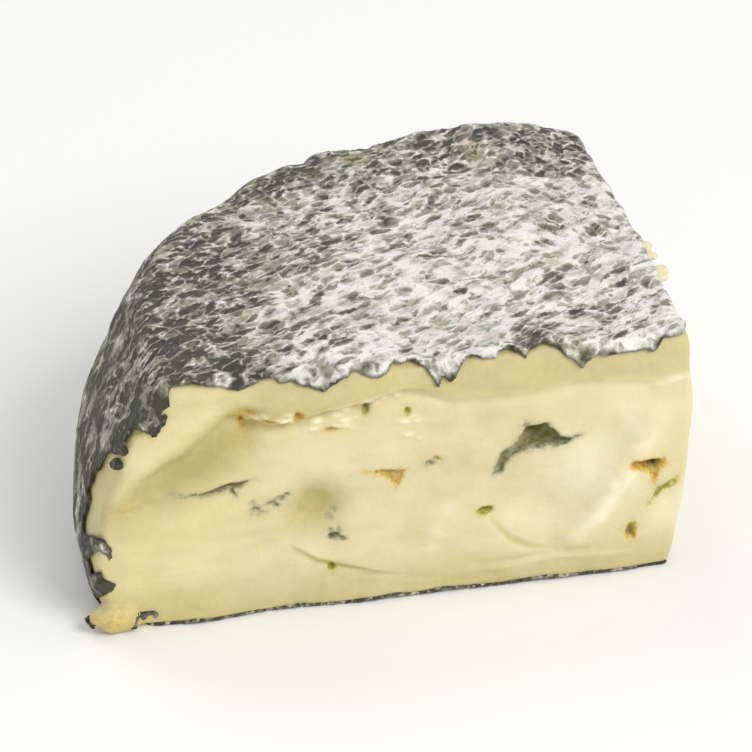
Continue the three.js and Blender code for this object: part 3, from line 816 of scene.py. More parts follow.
FRONT_BLOCK = ((-62.0, -13.0, 2.0), (24.6, -3.0, 36.0))
SIDE_BLOCK = ((16.0, -13.0, 2.0), (24.6, 60.0, 36.0))


def carve_pockets(field, axes):
    for low, high in (FRONT_BLOCK, SIDE_BLOCK):
        part = block(axes, low, high)
        x, y, z = np.meshgrid(*(axis[s] for axis, s in zip(axes, part)), indexing="ij", sparse=True)
        carved = field[part]
        for pocket, _, _ in pocket_fields(x, y, z):
            carved = smooth_max(carved, -pocket, 0.25)
        field[part] = carved


def paste_distance(points):
    x, y, z = points.T
    field = plain_paste_distance(x, y, z, wheel_distance(x, y, z))
    field = smooth_min(field, flakes(x, y, z), 0.3)
    for pocket, _, _ in pocket_fields(x, y, z):
        field = smooth_max(field, -pocket, 0.25)
    return field


def settle(obj, distance, steps, most):
    """Moves the vertices along their normals onto the true surface, by no more than a given way in all."""
    points, normals = mesh_points(obj)
    for _ in range(steps):
        points = points - np.clip(distance(points), -most, most)[:, None] * normals
    place_points(obj, points)


def make_paste(field, axes):
    x, y, z = np.meshgrid(*axes, indexing="ij", sparse=True)
    carved = smooth_min(field, flakes(x, y, z), 0.3)
    carve_pockets(carved, axes)
    points, faces = surface_net(carved, axes)
    points, faces = keep_large_parts(points, faces, 400)
    paste = mesh_object("paste", points, faces)
    points, _ = mesh_points(paste)
    x, y, z = points.T
    wheel = wheel_distance(x, y, z)
    hidden = (wheel > -skin(z) - 0.12) & (rind_cover(x, y, z, wheel) > 1.6)
    thin_out(paste, hidden, HIDDEN_SHARE)
    settle(paste, paste_distance, 2, 0.2)
    paint_paste(paste)
    return paste


# Paler places and painted highlights on the front cut: place, radius and strength.
PALE_AND_HIGHLIGHT_PLACES = (
    (-50, 10, 4.0, 0.12), (-24, 26, 5.0, 0.12), (-47, 33, 3.5, 0.1), (14.5, 25.5, 3.2, 0.45),
    (9, 19, 6.5, 0.45), (3, 9, 4.0, 0.2), (-57, 27, 3.0, 0.12), (18.5, 10, 3.0, 0.25),
    (-14.5, 10.5, 1.6, 0.3), (-12.8, 14.5, 1.2, 0.3), (-15, 8, 1.0, 0.3),
)
# Amber places on the front cut: place, stretch across, radius and strength.
AMBER_PLACES = ((-58.6, 20.1, 1.5, 1.0, 0.3), (-36.0, 15.0, 3.0, 1.4, 0.12))
# Creases with painted shade along them: path and strength.
SHADED_CREASES = ((CURL, 1.0), (SHELL_CREASE, 0.9), (FOOT_CREASE, 0.5), (LEFT_CREASE, 0.7))


def ledge_shadow(x, z):
    """Painted shadow: the brown line under the far half of the ledge."""
    above_ledge = z - np.interp(x, LEDGE_X, LEDGE_Z)
    along = smooth_step(x, -43.5, -40.5) * (1.0 - smooth_step(x, -26.0, -16.0))
    return along * bell(above_ledge + 0.5, 0.65)


def age_and_painted_shade(x, y, z, wheel, front):
    """How aged and so how dull the paste is under the rind and on the ledge, plus painted shade under the
    ledge, in the fold, the dimple and the creases, and towards the bottom.
    """
    mottle = lumps(x, y, z, 3.6)
    age_and_shade = 0.8 * np.exp(np.minimum(wheel + skin(z), 0.0) / (2.6 + 1.0 * mottle))
    above_ledge = z - np.interp(x, LEDGE_X, LEDGE_Z)
    right = smooth_step(x, -17.0, -9.0)
    ledge = smooth_step(above_ledge + 0.5 * mottle, -0.6 - 1.2 * right, 1.0 + 0.6 * right)
    age_and_shade = age_and_shade * (0.5 + 0.5 * smooth_step(x, -46.0, -40.0))
    age_and_shade = np.maximum(age_and_shade, 0.62 * ledge * smooth_step(x, -46.0, -38.0))
    # Painted shadow under the ledge.
    age_and_shade = np.maximum(age_and_shade, front * ledge_shadow(x, z))
    # Painted shade along the fold's valley.
    fold = (0.45 + 0.8 * fold_strength(x)) * fold_bell(x, z) * smooth_step(-x, 36.0, 41.0)
    age_and_shade = np.maximum(age_and_shade, front * fold)
    # Painted shade in the dimple.
    age_and_shade = np.maximum(age_and_shade, front * 0.95 * bell(np.hypot(x + 32.0, (z - 17.2) / 1.1), 4.2))
    # Painted shade, darker towards the bottom of the paste.
    age_and_shade = np.maximum(age_and_shade, 0.66 * (1.0 - smooth_step(z + 0.8 * mottle, 0.0, 12.0)))
    streaks = lumps(x, y, 2.5 * z, 6.5) + 0.6 * lumps(x, y, 2.0 * z, 2.6)
    streaks = 0.08 + 0.16 * np.clip(streaks, -0.4, 1.0)
    age_and_shade = age_and_shade + front * streaks * (1.0 - 0.6 * smooth_step(x, -5.0, 5.0))
    # Painted shade along the creases.
    for path, strength in SHADED_CREASES:
        away, share, _ = segment_offsets(x, z, path)
        age_and_shade = np.maximum(age_and_shade, front * strength * np.sin(np.pi * share) * bell(away, 0.6))
    return np.clip(age_and_shade, 0.0, 1.0)


def pocket_tints(x, y, z, plain):
    """How strongly each tint of the pockets shows, and how deep inside a pocket a place is, for the painted
    shade down there.
    """
    tints = np.zeros((3, len(x)))
    deep = np.zeros(len(x))
    for pocket, tint, strength in pocket_fields(x, y, z):
        away = np.maximum(pocket, 0.0)
        near = np.exp(-away / 0.3)
        halo = 0.3 * np.exp(-away / 0.9)
        tints[tint] = np.maximum(tints[tint], np.maximum(near, halo) * strength)
        # Depth inside a pocket, used to paint shade there.
        deep = np.maximum(deep, near * np.clip(-plain / 2.4, 0.0, 1.0))
    return tints, deep


def amber_tint(x, y, z, front, amber):
    """Adds the amber places outside the pockets, and amber in the painted shadow under the ledge, to the amber
    of the pockets.
    """
    for at_x, at_z, stretch, radius, strength in AMBER_PLACES:
        spot = bell(np.hypot((x - at_x) / stretch, z - at_z), radius)
        amber = np.maximum(amber, strength * front * spot)
    amber = np.maximum(amber, 0.3 * bell(lump_at_foot(x, y, z), 1.0) * (1.0 + lumps(x, y, z, 1.2)))
    # Amber in the painted shadow under the ledge.
    return np.maximum(amber, 0.3 * front * ledge_shadow(x, z))


def pale_and_highlight_tint(x, y, z, front):
    """How pale and shiny the paste is, with a painted highlight: on its ridge, flakes and crumbs, and in a few
    places.
    """
    away, share, _ = segment_offsets(x, z, RIDGE)
    streak = 0.75 + 0.5 * lumps(x, y, z, 1.5)
    pale_and_highlight = 0.95 * streak * np.sin(np.pi * (0.1 + 0.8 * share)) * bell(away, 1.8)
    pale_and_highlight = np.maximum(pale_and_highlight, 0.55 * bell(np.hypot(x - 19.5, (z - 32.4) * 2.5), 2.2))
    for at_x, at_z, radius, strength in PALE_AND_HIGHLIGHT_PLACES:
        pale_and_highlight = np.maximum(pale_and_highlight, strength * bell(np.hypot(x - at_x, z - at_z), radius))
    pale_and_highlight = np.maximum(pale_and_highlight * front, 0.5 * bell(np.maximum(flakes(x, y, z), 0.0), 0.3))
    pale_and_highlight = np.maximum(pale_and_highlight, np.clip(crumbs(x, z) * front * 2.0, 0.0, 1.0))
    return np.clip(pale_and_highlight, 0.0, 1.0)


def paint_paste(paste):
    """Stores where the paste is warm, aged or painted with shade, creamy or painted with highlight, mouldy,
    amber, yellow-green, and the painted shade deep in a pocket.
    """
    points, _ = mesh_points(paste)
    x, y, z = points.T
    wheel = wheel_distance(x, y, z)
    front = bell(y - FRONT_CUT_Y - front_relief(x, z), 2.5)
    tints, deep = pocket_tints(x, y, z, plain_paste_distance(x, y, z, wheel))
    warm = 0.4 + 0.45 * smooth_step(-x, 36.0, 50.0) + 0.4 * lumps(x, y, z, 11.0)
    store(paste, "warm", np.clip(warm, 0.0, 1.0))
    store(paste, "age_and_shade", age_and_painted_shade(x, y, z, wheel, front))
    store(paste, "pale_and_highlight", pale_and_highlight_tint(x, y, z, front))
    store(paste, "mould", tints[MOULD])
    store(paste, "amber", amber_tint(x, y, z, front, tints[AMBER]))
    store(paste, "lime", tints[LIME])
    # Painted shade deep in the pockets, with the mould's more olive lining.
    store(paste, "deep", deep)


# The rind.


def rind_layers(plain, cover, wheel, x, y, z):
    """The rind as a shell round the paste: thinner on the cuts, and curled away near its torn border."""
    tip = smooth_step(x, 16.0, 19.0) * smooth_step(-y, 3.0, 6.0)
    near_border = np.exp(-np.maximum(cover, 0.0) / BORDER_CURL_WIDTH)
    on_cut = soft_step(plain - wheel - skin(z) - 0.6, 0.5)
    thick = skin(z) + (np.minimum(RIND_ON_CUT * smooth_step(z, -8.0, 30.0), skin(z)) - skin(z)) * on_cut
    lift = BORDER_CURL * near_border * smooth_step(z, 24.0, 31.0) * (1.0 - tip)
    outside = plain - thick - lift
    inside = lift - RIND_UNDERLAP - plain
    return outside, inside


def rind_distance(plain, cover, wheel, x, y, z):
    outside, inside = rind_layers(plain, cover, wheel, x, y, z)
    return smooth_max(smooth_max(outside, inside, 0.15), -cover, 0.2)


def rind_distance_at(points):
    x, y, z = points.T
    wheel = wheel_distance(x, y, z)
    return rind_distance(plain_paste_distance(x, y, z, wheel), rind_cover(x, y, z, wheel), wheel, x, y, z)


def rind_places(rind):
    """The rind's vertices and normals, how far inside its border they lie, and how far outside its shell."""
    points, normals = mesh_points(rind)
    x, y, z = points.T
    wheel = wheel_distance(x, y, z)
    cover = rind_cover(x, y, z, wheel)
    outside, _ = rind_layers(plain_paste_distance(x, y, z, wheel), cover, wheel, x, y, z)
    return points, normals, cover, outside


def make_rind(plain, wheel, axes):
    x, y, z = np.meshgrid(*axes, indexing="ij", sparse=True)
    field = rind_distance(plain, rind_cover(x, y, z, wheel), wheel, x, y, z)
    points, faces = surface_net(field, axes)
    points, faces = keep_large_parts(points, faces, 60)
    rind = mesh_object("rind", points, faces)
    points, _, cover, outside = rind_places(rind)
    hidden = ((outside < -0.35) & (cover > 1.2)) | (points[:, 2] < 0.15)
    thin_out(rind, hidden, HIDDEN_SHARE)
    settle(rind, rind_distance_at, 2, 0.2)
    paint_rind(rind)
    return rind


# Broad paler and darker places on the top: place, radius and how much paler. The darkest, at (-1.5, -8), is
# painted shade in the dent there.
PALE_SPOTS = (
    (10, 8, 13, 0.16), (-8, 2, 8, 0.14), (-33, -9, 5, 0.35),
    (-22, -7, 6, 0.2), (6, 24, 7, 0.08), (-46, -6, 4.5, -0.45),
    (-43, 18, 4, -0.2), (-36, 26, 5, -0.1), (-16, 42, 6, -0.12),
    # The last place here is painted shade in the top's dent.
    (-5, 30, 5, -0.1), (16, 38, 6, -0.22), (-1.5, -8, 2.6, -0.9),
    (-25, 44, 5, -0.35), (3, 36, 4, 0.08), (-30, 8, 6, 0.05), (-50, 3, 4, -0.1),
)
# Charcoal places of the wall beside the front cut: place, height, radius and strength.
CHARCOAL_PLACES = ((-56.0, 36.0, 3.2, 0.9), (-61.5, 31.0, 2.6, 0.8), (-63.0, 9.0, 3.5, 0.7))
# Tan and pink patches of the top: place and radius.
TAN_PATCHES = (
    (-14.5, 47, 3.0), (3.5, 47, 2.4), (7, 12, 1.6), (-12, 0, 1.2),
    (-22, 44, 2.0), (8.5, 13.5, 1.2), (9, 30, 1.6), (-10, 14, 1.2),
)
PINK_PATCHES = ((-8.5, -3.0, 2.8), (-6.0, -5.0, 1.8), (2.5, 49, 2.0), (-19, 47, 1.8), (-44, -4, 1.5))
# A small ring of bloom on the border.
RING = (-44.9, -9.6, 39.6)
RING_RADIUS = 1.0


def patches(x, y, z, places):
    """Uneven patches round some places of the top."""
    near = 0.0
    for at_x, at_y, radius in places:
        near = np.maximum(near, bell(np.hypot(x - at_x, y - at_y), radius))
    return smooth_step(near + 0.45 * lumps(x, y, z, 1.7) + 0.25 * lumps(x, y, z, 0.8), 0.35, 1.0)


def paleness(x, y, z):
    """How much pale bloom the rind carries: most on the top's near and right side."""
    pale = smooth_step(x, -58.0, -14.0) * (1.0 - 0.75 * smooth_step(y, 30.0, 50.0))
    pale = pale * smooth_step(z, 32.0, 39.5)
    for at_x, at_y, radius, more in PALE_SPOTS:
        pale = pale + more * bell(np.hypot(x - at_x, y - at_y), radius)
    return np.clip(0.9 * pale + 0.2 * lumps(x, y, z, 8.0) + 0.12 * lumps(x, y, z, 3.5), 0.0, 1.0)


def charcoal(x, y, z, cover):
    """How much darker the rind is: on its scraps, along its far border and in a few places of the wall."""
    ash = smooth_step(fleck_cover(x, z, y - FRONT_CUT_Y - front_relief(x, z)), -0.5, 0.1)
    at_left = smooth_step(-x, 53.0, 56.0) * (1.0 - smooth_step(cover, 0.8, 2.6)) * smooth_step(z, 1.0, 4.0)
    ash = np.maximum(ash, at_left * (0.75 + 0.5 * lumps(x, y, z, 2.2)))
    for at_x, at_z, radius, more in CHARCOAL_PLACES:
        away = np.hypot(np.hypot(x - at_x, z - at_z), 0.7 * (y - FRONT_CUT_Y))
        ash = np.maximum(ash, more * bell(away, radius))
    return np.clip(ash, 0.0, 1.0)


def paint_rind(rind):
    """Wrinkles and pits the rind, and stores where it is pale, pitted, tan, pink, turned, or torn with painted
    shadow along the torn edge.
    """
    points, normals, cover, outside = rind_places(rind)
    x, y, z = points.T
    facing_up = normals[:, 2]
    outer = smooth_step(outside, -0.4, -0.05)
    ash = charcoal(x, y, z, cover)
    pale = paleness(x, y, z) * (1.0 - ash)
    turned = smooth_step(x - 0.2 * y, -8.0, 2.0) * smooth_step(y, 8.0, 20.0)
    left_pits = row_pits(points, (0.75 - 0.4 * pale) * (1.0 - turned), ROW_DIRECTION, 3.0)
    back_pits = row_pits(points, (0.6 - 0.3 * pale) * turned, BACK_ROW_DIRECTION, 23.0)
    pits = np.maximum(left_pits, back_pits) * (0.3 + 0.7 * smooth_step(facing_up, 0.45, 0.9))
    worms = wrinkles(points, 7, WRINKLE_LENGTHS, WRINKLE_SPREAD)
    veins = bell(worms, 0.45) * (1.0 - pits)
    relief = VEIN_HEIGHT * veins + WORM_HEIGHT * worms - PIT_DEPTH * pits
    free = outer * smooth_step(z, 0.4, 2.0) * smooth_step(cover, 0.1, 1.0)
    place_points(rind, points + (relief * free)[:, None] * normals)
    shade = 0.5 + 0.16 * worms + 0.3 * (veins - 0.4) - 0.9 * pits
    wall = (1.0 - smooth_step(facing_up + 0.15 * lumps(x, y, z, 5.0), 0.35, 0.7)) * outer
    away = np.hypot(np.hypot(x - RING[0], y - RING[1]), z - RING[2])
    edge = cover + 0.22 * lumps(x, y, z, 1.1) - 0.2 * ash
    store(rind, "pale", pale)
    store(rind, "relief", np.clip(shade - 0.3 * ash, 0.0, 1.0))
    store(rind, "turned", turned)
    store(rind, "wall", np.clip(wall * (1.0 - smooth_step(-facing_up, 0.3, 0.7)), 0.0, 1.0))
    store(rind, "tan", patches(x, y, z, TAN_PATCHES) * (1.0 - pits))
    store(rind, "pink", patches(x, y, z, PINK_PATCHES) * (1.0 - pits))
    store(rind, "foot", 1.0 - smooth_step(z, 1.0, 3.0))
    store(rind, "ring", bell(away - RING_RADIUS, 0.35))
    # Dark torn edge: the ash of the rind's cut edge, widened with painted shadow under it.
    store(rind, "torn", 1.0 - smooth_step(edge, 0.22, 0.5) * outer)


# Materials.


def srgb(red, green, blue):
    """Scene colour of an 8-bit display colour."""
    return tuple(
        (v / 255 / 12.92 if v <= 10 else ((v / 255 + 0.055) / 1.055) ** 2.4) for v in (red, green, blue)
    ) + (1.0,)


NET_RANDOMNESS = 0.85


class Nodes:
    """Short calls for building a node tree."""

    def __init__(self, name):
        self.material = bpy.data.materials.new(name)
        self.material.use_nodes = True
        self.tree = self.material.node_tree
        self.shader = self.tree.nodes["Principled BSDF"]

    def add(self, kind, **values):
        node = self.tree.nodes.new(kind)
        for name, value in values.items():
            setattr(node, name, value)
        return node

    def link(self, source, target):
        self.tree.links.new(source, target)

    def attribute(self, name):
        node = self.add("ShaderNodeAttribute", attribute_name=name)
        return node.outputs["Fac"]

    def vector(self, operation, a, b):
        node = self.add("ShaderNodeVectorMath", operation=operation)
        for socket, value in zip(node.inputs, (a, b)):
            if isinstance(value, tuple):
                socket.default_value = value
            else:
                self.link(value, socket)
        return node.outputs["Vector"]

    def place(self):
        """Places on the object, in millimetres."""
        place = self.add("ShaderNodeTexCoord").outputs["Object"]
        return self.vector("MULTIPLY", place, (1.0 / METRES, 1.0 / METRES, 1.0 / METRES))

    def noise_node(self, across, detail, roughness, place):
        node = self.add("ShaderNodeTexNoise")
        node.inputs["Scale"].default_value = 1.0 / across
        node.inputs["Detail"].default_value = detail
        node.inputs["Roughness"].default_value = roughness
        self.link(self.place() if place is None else place, node.inputs["Vector"])
        return node

    def noise(self, across, detail=3.0, roughness=0.6, place=None):
        return self.noise_node(across, detail, roughness, place).outputs["Fac"]

    def wander(self, place, across, amount):
        """Shifts places smoothly by random amounts, so that an even pattern on them becomes uneven."""
        noise = self.noise_node(across, 1.0, 0.5, place).outputs["Color"]
        shift = self.vector("SUBTRACT", noise, (0.5, 0.5, 0.5))
        return self.vector("ADD", place, self.vector("MULTIPLY", shift, (amount, amount, amount)))

    def rows(self, direction, sizes):
        """Places in units of a pattern that runs in wavering rows: along a row, across it and up."""
        node = self.add("ShaderNodeVectorRotate", rotation_type="Z_AXIS")
        node.inputs["Angle"].default_value = -direction
        place = self.wander(self.wander(self.place(), 11.0, 4.0), 3.0, 1.2)
        self.link(place, node.inputs["Vector"])
        return self.vector("DIVIDE", node.outputs["Vector"], sizes)

    def voronoi(self, place, feature):
        node = self.add("ShaderNodeTexVoronoi", feature=feature)
        node.inputs["Scale"].default_value = 1.0
        node.inputs["Randomness"].default_value = NET_RANDOMNESS
        self.link(place, node.inputs["Vector"])
        return node.outputs

    def net(self, direction, sizes, density, thread=0.07):
        """A net that runs in rows: how dark its cells are, with some left out, and its pale threads."""
        place = self.rows(direction, sizes)
        parts = self.add("ShaderNodeSeparateColor")
        self.link(self.voronoi(place, "F1")["Color"], parts.inputs["Color"])
        edge = self.voronoi(place, "DISTANCE_TO_EDGE")["Distance"]
        away = self.math("MULTIPLY_ADD", self.noise(0.7, 2.0), 0.5, edge)
        inside = self.span(away, thread + 0.22, thread + 0.4)
        dark = self.span(self.math("SUBTRACT", density, parts.outputs["Red"]), 0.0, 0.6)
        threads = self.span(away, 0.18, thread + 0.26, 1.0, 0.0)
        return self.math("MULTIPLY", inside, dark), threads

    def ridges(self, place, width):
        """Thin winding lines, where a noise passes its middle value."""
        away = self.math("ABSOLUTE", self.math("SUBTRACT", self.noise(1.0, 1.0, 0.5, place), 0.5))
        return self.span(away, 0.0, width, 1.0, 0.0)

    def math(self, operation, a, b=0.0, c=0.0, clamp=False):
        node = self.add("ShaderNodeMath", operation=operation, use_clamp=clamp)
        for socket, value in zip(node.inputs, (a, b, c)):
            if isinstance(value, (int, float)):
                socket.default_value = value
            else:
                self.link(value, socket)
        return node.outputs[0]

    def span(self, value, low, high, new_low=0.0, new_high=1.0):
        node = self.add("ShaderNodeMapRange")
        self.link(value, node.inputs["Value"])
        names = ("From Min", "From Max", "To Min", "To Max")
        for name, number in zip(names, (low, high, new_low, new_high)):
            node.inputs[name].default_value = number
        return node.outputs["Result"]

    def mix(self, share, a, b):
        node = self.add("ShaderNodeMix", data_type="RGBA")
        for socket, value in zip((node.inputs[0], node.inputs[6], node.inputs[7]), (share, a, b)):
            if isinstance(value, (int, float, tuple)):
                socket.default_value = value
            else:
                self.link(value, socket)
        return node.outputs[2]

    def mix_value(self, share, a, b):
        node = self.add("ShaderNodeMix", data_type="FLOAT")
        for socket, value in zip((node.inputs[0], node.inputs[2], node.inputs[3]), (share, a, b)):
            self.link(value, socket)
        return node.outputs[0]

    def bump(self, height, distance_mm, strength=1.0, under=None):
        node = self.add("ShaderNodeBump")
        node.inputs["Strength"].default_value = strength
        node.inputs["Distance"].default_value = distance_mm * METRES
        self.link(height, node.inputs["Height"])
        if under is not None:
            self.link(under, node.inputs["Normal"])
        return node.outputs["Normal"]

    def finish(self, colour, roughness, normal):
        self.link(colour, self.shader.inputs["Base Color"])
        self.link(roughness, self.shader.inputs["Roughness"])
        self.link(normal, self.shader.inputs["Normal"])
        return self.material


def paste_material():
    n = Nodes("ivory paste")
    cloud = n.noise(5.0, 3.0)
    curd = n.noise(1.6, 4.0, 0.65)
    grain = n.noise(0.35, 3.0, 0.7)
    colour = n.mix(n.attribute("warm"), srgb(232, 222, 186), srgb(231, 217, 160))
    colour = n.mix(n.span(cloud, 0.5, 0.75, 0.0, 0.5), colour, srgb(226, 214, 168))
    colour = n.mix(n.span(curd, 0.5, 0.8, 0.0, 0.35), colour, srgb(242, 233, 202))
    # Aged, duller colour under the rind, which also carries the painted shade of the fold, dimple, creases,
    # ledge and low parts.
    age_and_shade = n.math("MULTIPLY", n.attribute("age_and_shade"), n.span(curd, 0.2, 0.8, 0.8, 1.2), clamp=True)
    colour = n.mix(age_and_shade, colour, srgb(190, 176, 114))
    # Painted highlight: near-white paste on the ridge, crumbs, flakes and a few places.
    colour = n.mix(n.attribute("pale_and_highlight"), colour, srgb(252, 245, 216))
    stain = n.noise(0.55, 3.0, 0.6)
    amber = n.math("MULTIPLY", n.attribute("amber"), n.span(curd, 0.25, 0.7, 0.6, 1.3), clamp=True)
    dull = n.mix(n.span(stain, 0.4, 0.6), srgb(186, 150, 56), srgb(228, 198, 96))
    # Painted shade: darker brown amber deep in the holes.
    dull = n.mix(n.span(n.attribute("deep"), 0.15, 0.6, 0.0, 0.8), dull, srgb(122, 104, 50))
    colour = n.mix(amber, colour, dull)
    lime = n.math("MULTIPLY", n.attribute("lime"), n.span(curd, 0.25, 0.7, 0.6, 1.2), clamp=True)
    colour = n.mix(lime, colour, n.mix(n.span(stain, 0.4, 0.6), srgb(160, 156, 60), srgb(206, 200, 100)))
    blotch = n.span(n.noise(0.8, 4.0, 0.7), 0.38, 0.62)
    blue = n.mix(blotch, srgb(114, 113, 82), srgb(176, 175, 142))
    cave = n.mix(n.span(n.noise(2.2, 2.0), 0.42, 0.58), srgb(114, 106, 48), srgb(156, 150, 94))
    # Deep in the cave the mould turns more olive and darker: partly its own lining colour, partly painted
    # shade.
    blue = n.mix(n.span(n.attribute("deep"), 0.2, 0.9, 0.0, 0.9), blue, cave)
    mould = n.math("MULTIPLY", n.attribute("mould"), n.span(blotch, 0.0, 1.0, 0.95, 0.7), clamp=True)
    colour = n.mix(mould, colour, blue)
    roughness = n.math("MULTIPLY_ADD", n.attribute("pale_and_highlight"), -0.12, n.span(curd, 0.3, 0.7, 0.42, 0.56))
    normal = n.bump(grain, 0.08, 0.35)
    normal = n.bump(curd, 0.3, 0.4, normal)
    normal = n.bump(cloud, 0.8, 0.45, normal)
    shader = n.shader.inputs
    shader["Subsurface Weight"].default_value = 0.3
    shader["Subsurface Radius"].default_value = (1.0, 0.75, 0.4)
    shader["Subsurface Scale"].default_value = 0.0015
    shader["Specular IOR Level"].default_value = 0.45
    return n.finish(colour, roughness, normal)


def rind_pattern(n, pale, turned, wall):
    """The rind's dark cells and pale threads: in rows on the top, in larger patches on the wall."""
    density = n.span(pale, 0.0, 1.0, 1.05, 0.65)
    left, left_lines = n.net(ROW_DIRECTION, (3.2, 1.3, 1.8), density)
    back, back_lines = n.net(BACK_ROW_DIRECTION, (2.5, 1.4, 1.7), density)
    small, _ = n.net(ROW_DIRECTION, (1.4, 0.7, 0.9), n.span(pale, 0.0, 1.0, 0.7, 0.45))
    specks = n.math("MAXIMUM", n.mix_value(turned, left, back), small)
    lines = n.mix_value(turned, left_lines, back_lines)
    lines = n.math("MULTIPLY", lines, n.span(n.noise(3.0, 2.0), 0.35, 0.6, 0.35, 1.0))
    wall_density = n.span(n.noise(5.0, 2.0), 0.35, 0.6, 0.5, 1.1)
    wall_specks, _ = n.net(0.8, (2.8, 2.8, 4.0), wall_density, 0.02)
    coarse = n.ridges(n.rows(0.4, (2.6, 2.6, 4.0)), 0.05)
    fine = n.ridges(n.rows(1.2, (1.9, 1.9, 2.4)), 0.04)
    wall_lines = n.math("MAXIMUM", coarse, fine)
    wall_lines = n.math("MULTIPLY", wall_lines, n.span(n.noise(2.8, 2.0), 0.45, 0.6))
    specks = n.mix_value(wall, specks, wall_specks)
    lines = n.mix_value(wall, lines, wall_lines)
    return specks, n.math("MAXIMUM", lines, n.attribute("ring"))


def rind_bloom(n, pale, wall, grain, specks, lines):
    """How much white bloom covers the ash."""
    blotch = n.span(n.noise(4.5, 3.0, 0.6), 0.35, 0.65, -1.0, 1.0)
    relief = n.span(n.attribute("relief"), 0.0, 1.0, -1.0, 1.0)
    bloom = n.math("MULTIPLY_ADD", wall, -0.1, n.span(pale, 0.0, 1.0, 0.36, 0.92))
    bloom = n.math("MULTIPLY_ADD", blotch, n.span(pale, 0.0, 1.0, 0.2, 0.1), bloom)
    bloom = n.math("MULTIPLY_ADD", relief, 0.32, bloom)
    bloom = n.math("ADD", bloom, n.span(grain, 0.3, 0.7, -0.12, 0.12))
    bloom = n.math("MULTIPLY_ADD", lines, n.span(pale, 0.0, 1.0, 0.55, 0.25), bloom)
    return n.math("MULTIPLY_ADD", specks, n.span(pale, 0.0, 1.0, -0.55, -0.65), bloom, clamp=True)


def torn_edge_and_shadow(n, grain, colour):
    """Darkens a colour along the rind's torn border, the dark ash of its edge with painted shadow under it,
    with pale threads under the wheel's foot.
    """
    torn = n.math("MULTIPLY", n.attribute("torn"), n.span(grain, 0.35, 0.6, 0.75, 1.0), clamp=True)
    torn = n.math("MULTIPLY", torn, n.span(n.noise(3.5, 2.0), 0.38, 0.55, 0.45, 1.0))
    ash = n.mix(n.span(n.noise(1.5, 2.0), 0.4, 0.6), srgb(48, 45, 33), srgb(86, 80, 60))
    threads = n.math("MULTIPLY", n.attribute("foot"), n.span(n.noise(1.1, 3.0), 0.5, 0.58))
    return n.mix(torn, colour, n.mix(threads, ash, srgb(196, 188, 160)))


def rind_material():
    n = Nodes("ash rind")
    pale = n.attribute("pale")
    wall = n.attribute("wall")
    grain = n.noise(0.35, 4.0, 0.7)
    specks, lines = rind_pattern(n, pale, n.attribute("turned"), wall)
    bloom = rind_bloom(n, pale, wall, grain, specks, lines)
    cool = n.span(n.noise(6.0, 2.0), 0.4, 0.6)
    dark = n.mix(cool, srgb(70, 70, 54), srgb(64, 64, 56))
    middle = n.mix(cool, srgb(158, 155, 134), srgb(164, 161, 148))
    white = n.mix(cool, srgb(240, 237, 226), srgb(236, 233, 228))
    colour = n.mix(n.span(bloom, 0.0, 0.45), dark, middle)
    colour = n.mix(n.span(bloom, 0.45, 0.9), colour, white)
    clear = n.span(specks, 0.0, 1.0, 1.0, 0.3)
    tan = n.math("MULTIPLY", n.attribute("tan"), clear)
    colour = n.mix(n.math("MULTIPLY", tan, 0.6), colour, srgb(178, 164, 124))
    pink = n.math("MULTIPLY", n.attribute("pink"), clear)
    colour = n.mix(n.math("MULTIPLY", pink, 0.85), colour, srgb(216, 202, 190))
    colour = torn_edge_and_shadow(n, grain, colour)
    roughness = n.span(grain, 0.3, 0.7, 0.82, 0.95)
    height = n.math("MULTIPLY_ADD", specks, -1.0, n.math("MULTIPLY", lines, 0.6))
    normal = n.bump(height, 0.35, 0.9)
    normal = n.bump(grain, 0.1, 0.5, normal)
    shader = n.shader.inputs
    shader["Sheen Weight"].default_value = 0.15
    shader["Sheen Roughness"].default_value = 0.6
    shader["Specular IOR Level"].default_value = 0.2
    return n.finish(colour, roughness, normal)


def floor_material():
    n = Nodes("pale floor")
    n.shader.inputs["Base Color"].default_value = srgb(250, 250, 249)
    n.shader.inputs["Roughness"].default_value = 0.9
    return n.material


# Stage, lights and camera.

CAMERA_AZIMUTH = np.radians(-11.85)
CAMERA_ELEVATION = np.radians(32.0)
CAMERA_DISTANCE = 0.6316
CAMERA_LENS = 205.0
CAMERA_ASIDE = 0.0052
CAMERA_LOWER = 0.0045
FLOOR_HALF = 4.0
LIGHT_SIZE = 0.6
KEY_LIGHT = ((0.45, -0.7, 0.78), 7.0)
REAR_LIGHT = ((-0.3, 0.6, 0.8), 1.8)
WORLD_STRENGTH = 0.58


def make_floor():
    mesh = bpy.data.meshes.new("floor")
    corners = [(x * FLOOR_HALF, y * FLOOR_HALF, 0.0) for x, y in ((-1, -1), (1, -1), (1, 1), (-1, 1))]
    mesh.from_pydata(corners, [], [(0, 1, 2, 3)])
    floor = bpy.data.objects.new("floor", mesh)
    bpy.context.collection.objects.link(floor)
    mesh.materials.append(floor_material())


def aim(obj, place, target):
    obj.location = place
    obj.rotation_euler = (Vector(target) - Vector(place)).to_track_quat("-Z", "Y").to_euler()


def add_light(name, place, power, target):
    light = bpy.data.lights.new(name, "AREA")
    light.size = LIGHT_SIZE
    light.energy = power
    lamp = bpy.data.objects.new(name, light)
    bpy.context.collection.objects.link(lamp)
    aim(lamp, place, target)


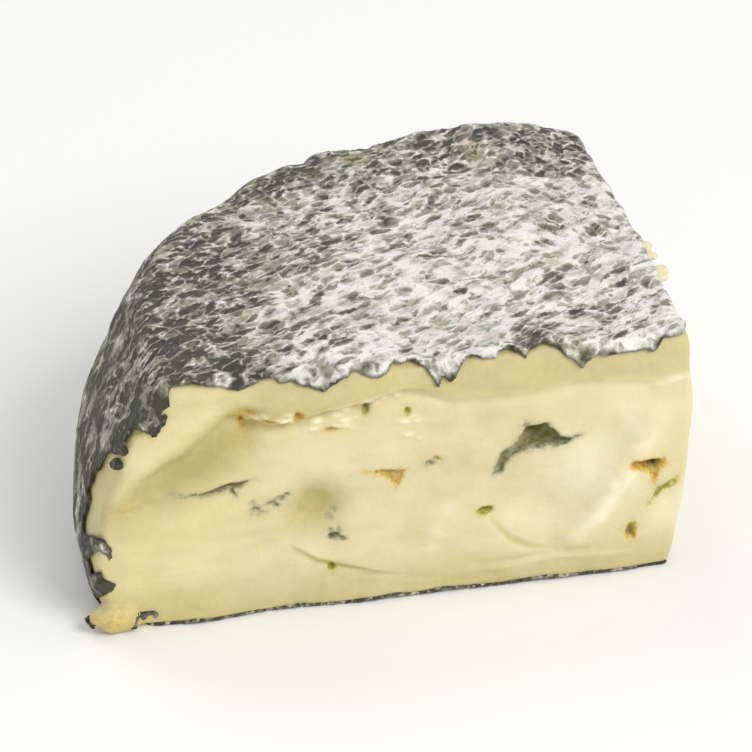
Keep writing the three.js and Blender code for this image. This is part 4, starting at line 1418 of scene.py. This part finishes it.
def make_lights(target):
    add_light("key", *KEY_LIGHT, target)
    add_light("rear light", *REAR_LIGHT, target)
    world = bpy.data.worlds.new("pale room")
    world.use_nodes = True
    background = world.node_tree.nodes["Background"].inputs
    background["Color"].default_value = (1.0, 1.0, 1.0, 1.0)
    background["Strength"].default_value = WORLD_STRENGTH
    bpy.context.scene.world = world
    bpy.context.scene.view_settings.view_transform = "Standard"


def make_camera(target):
    camera = bpy.data.objects.new("camera", bpy.data.cameras.new("camera"))
    bpy.context.collection.objects.link(camera)
    camera.data.lens = CAMERA_LENS
    away = np.array([
        np.sin(CAMERA_AZIMUTH) * np.cos(CAMERA_ELEVATION),
        -np.cos(CAMERA_AZIMUTH) * np.cos(CAMERA_ELEVATION),
        np.sin(CAMERA_ELEVATION),
    ])
    right = np.array([np.cos(CAMERA_AZIMUTH), np.sin(CAMERA_AZIMUTH), 0.0])
    target = np.array(target) + CAMERA_ASIDE * right - CAMERA_LOWER * np.cross(away, right)
    aim(camera, tuple(target + CAMERA_DISTANCE * away), tuple(target))
    bpy.context.scene.camera = camera


def dress(piece, material):
    piece.data.materials.clear()
    piece.data.materials.append(material)
    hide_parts(NODE)
    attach(piece, "root")


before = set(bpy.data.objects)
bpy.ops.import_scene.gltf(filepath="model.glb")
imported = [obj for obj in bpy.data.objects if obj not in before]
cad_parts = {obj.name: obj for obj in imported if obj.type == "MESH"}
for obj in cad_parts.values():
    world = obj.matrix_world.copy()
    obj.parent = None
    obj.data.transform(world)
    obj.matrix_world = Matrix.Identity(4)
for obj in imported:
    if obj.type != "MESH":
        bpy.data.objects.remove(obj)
cad_box = [list(map(float, corner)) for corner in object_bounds()]
middle = tuple(0.5 * (a + b) for a, b in zip(*cad_box))
make_floor()
make_lights(middle)
make_camera(middle)

grid = grid_axes()
x, y, z = np.meshgrid(*grid, indexing="ij", sparse=True)
wheel = wheel_distance(x, y, z)
plain = plain_paste_distance(x, y, z, wheel)
paste = make_paste(plain, grid)
rind = make_rind(plain, wheel, grid)
dress(paste, paste_material())
dress(rind, rind_material())
for piece in (paste, rind):
    print("PIECE", piece.name, len(piece.data.vertices), len(piece.data.polygons))
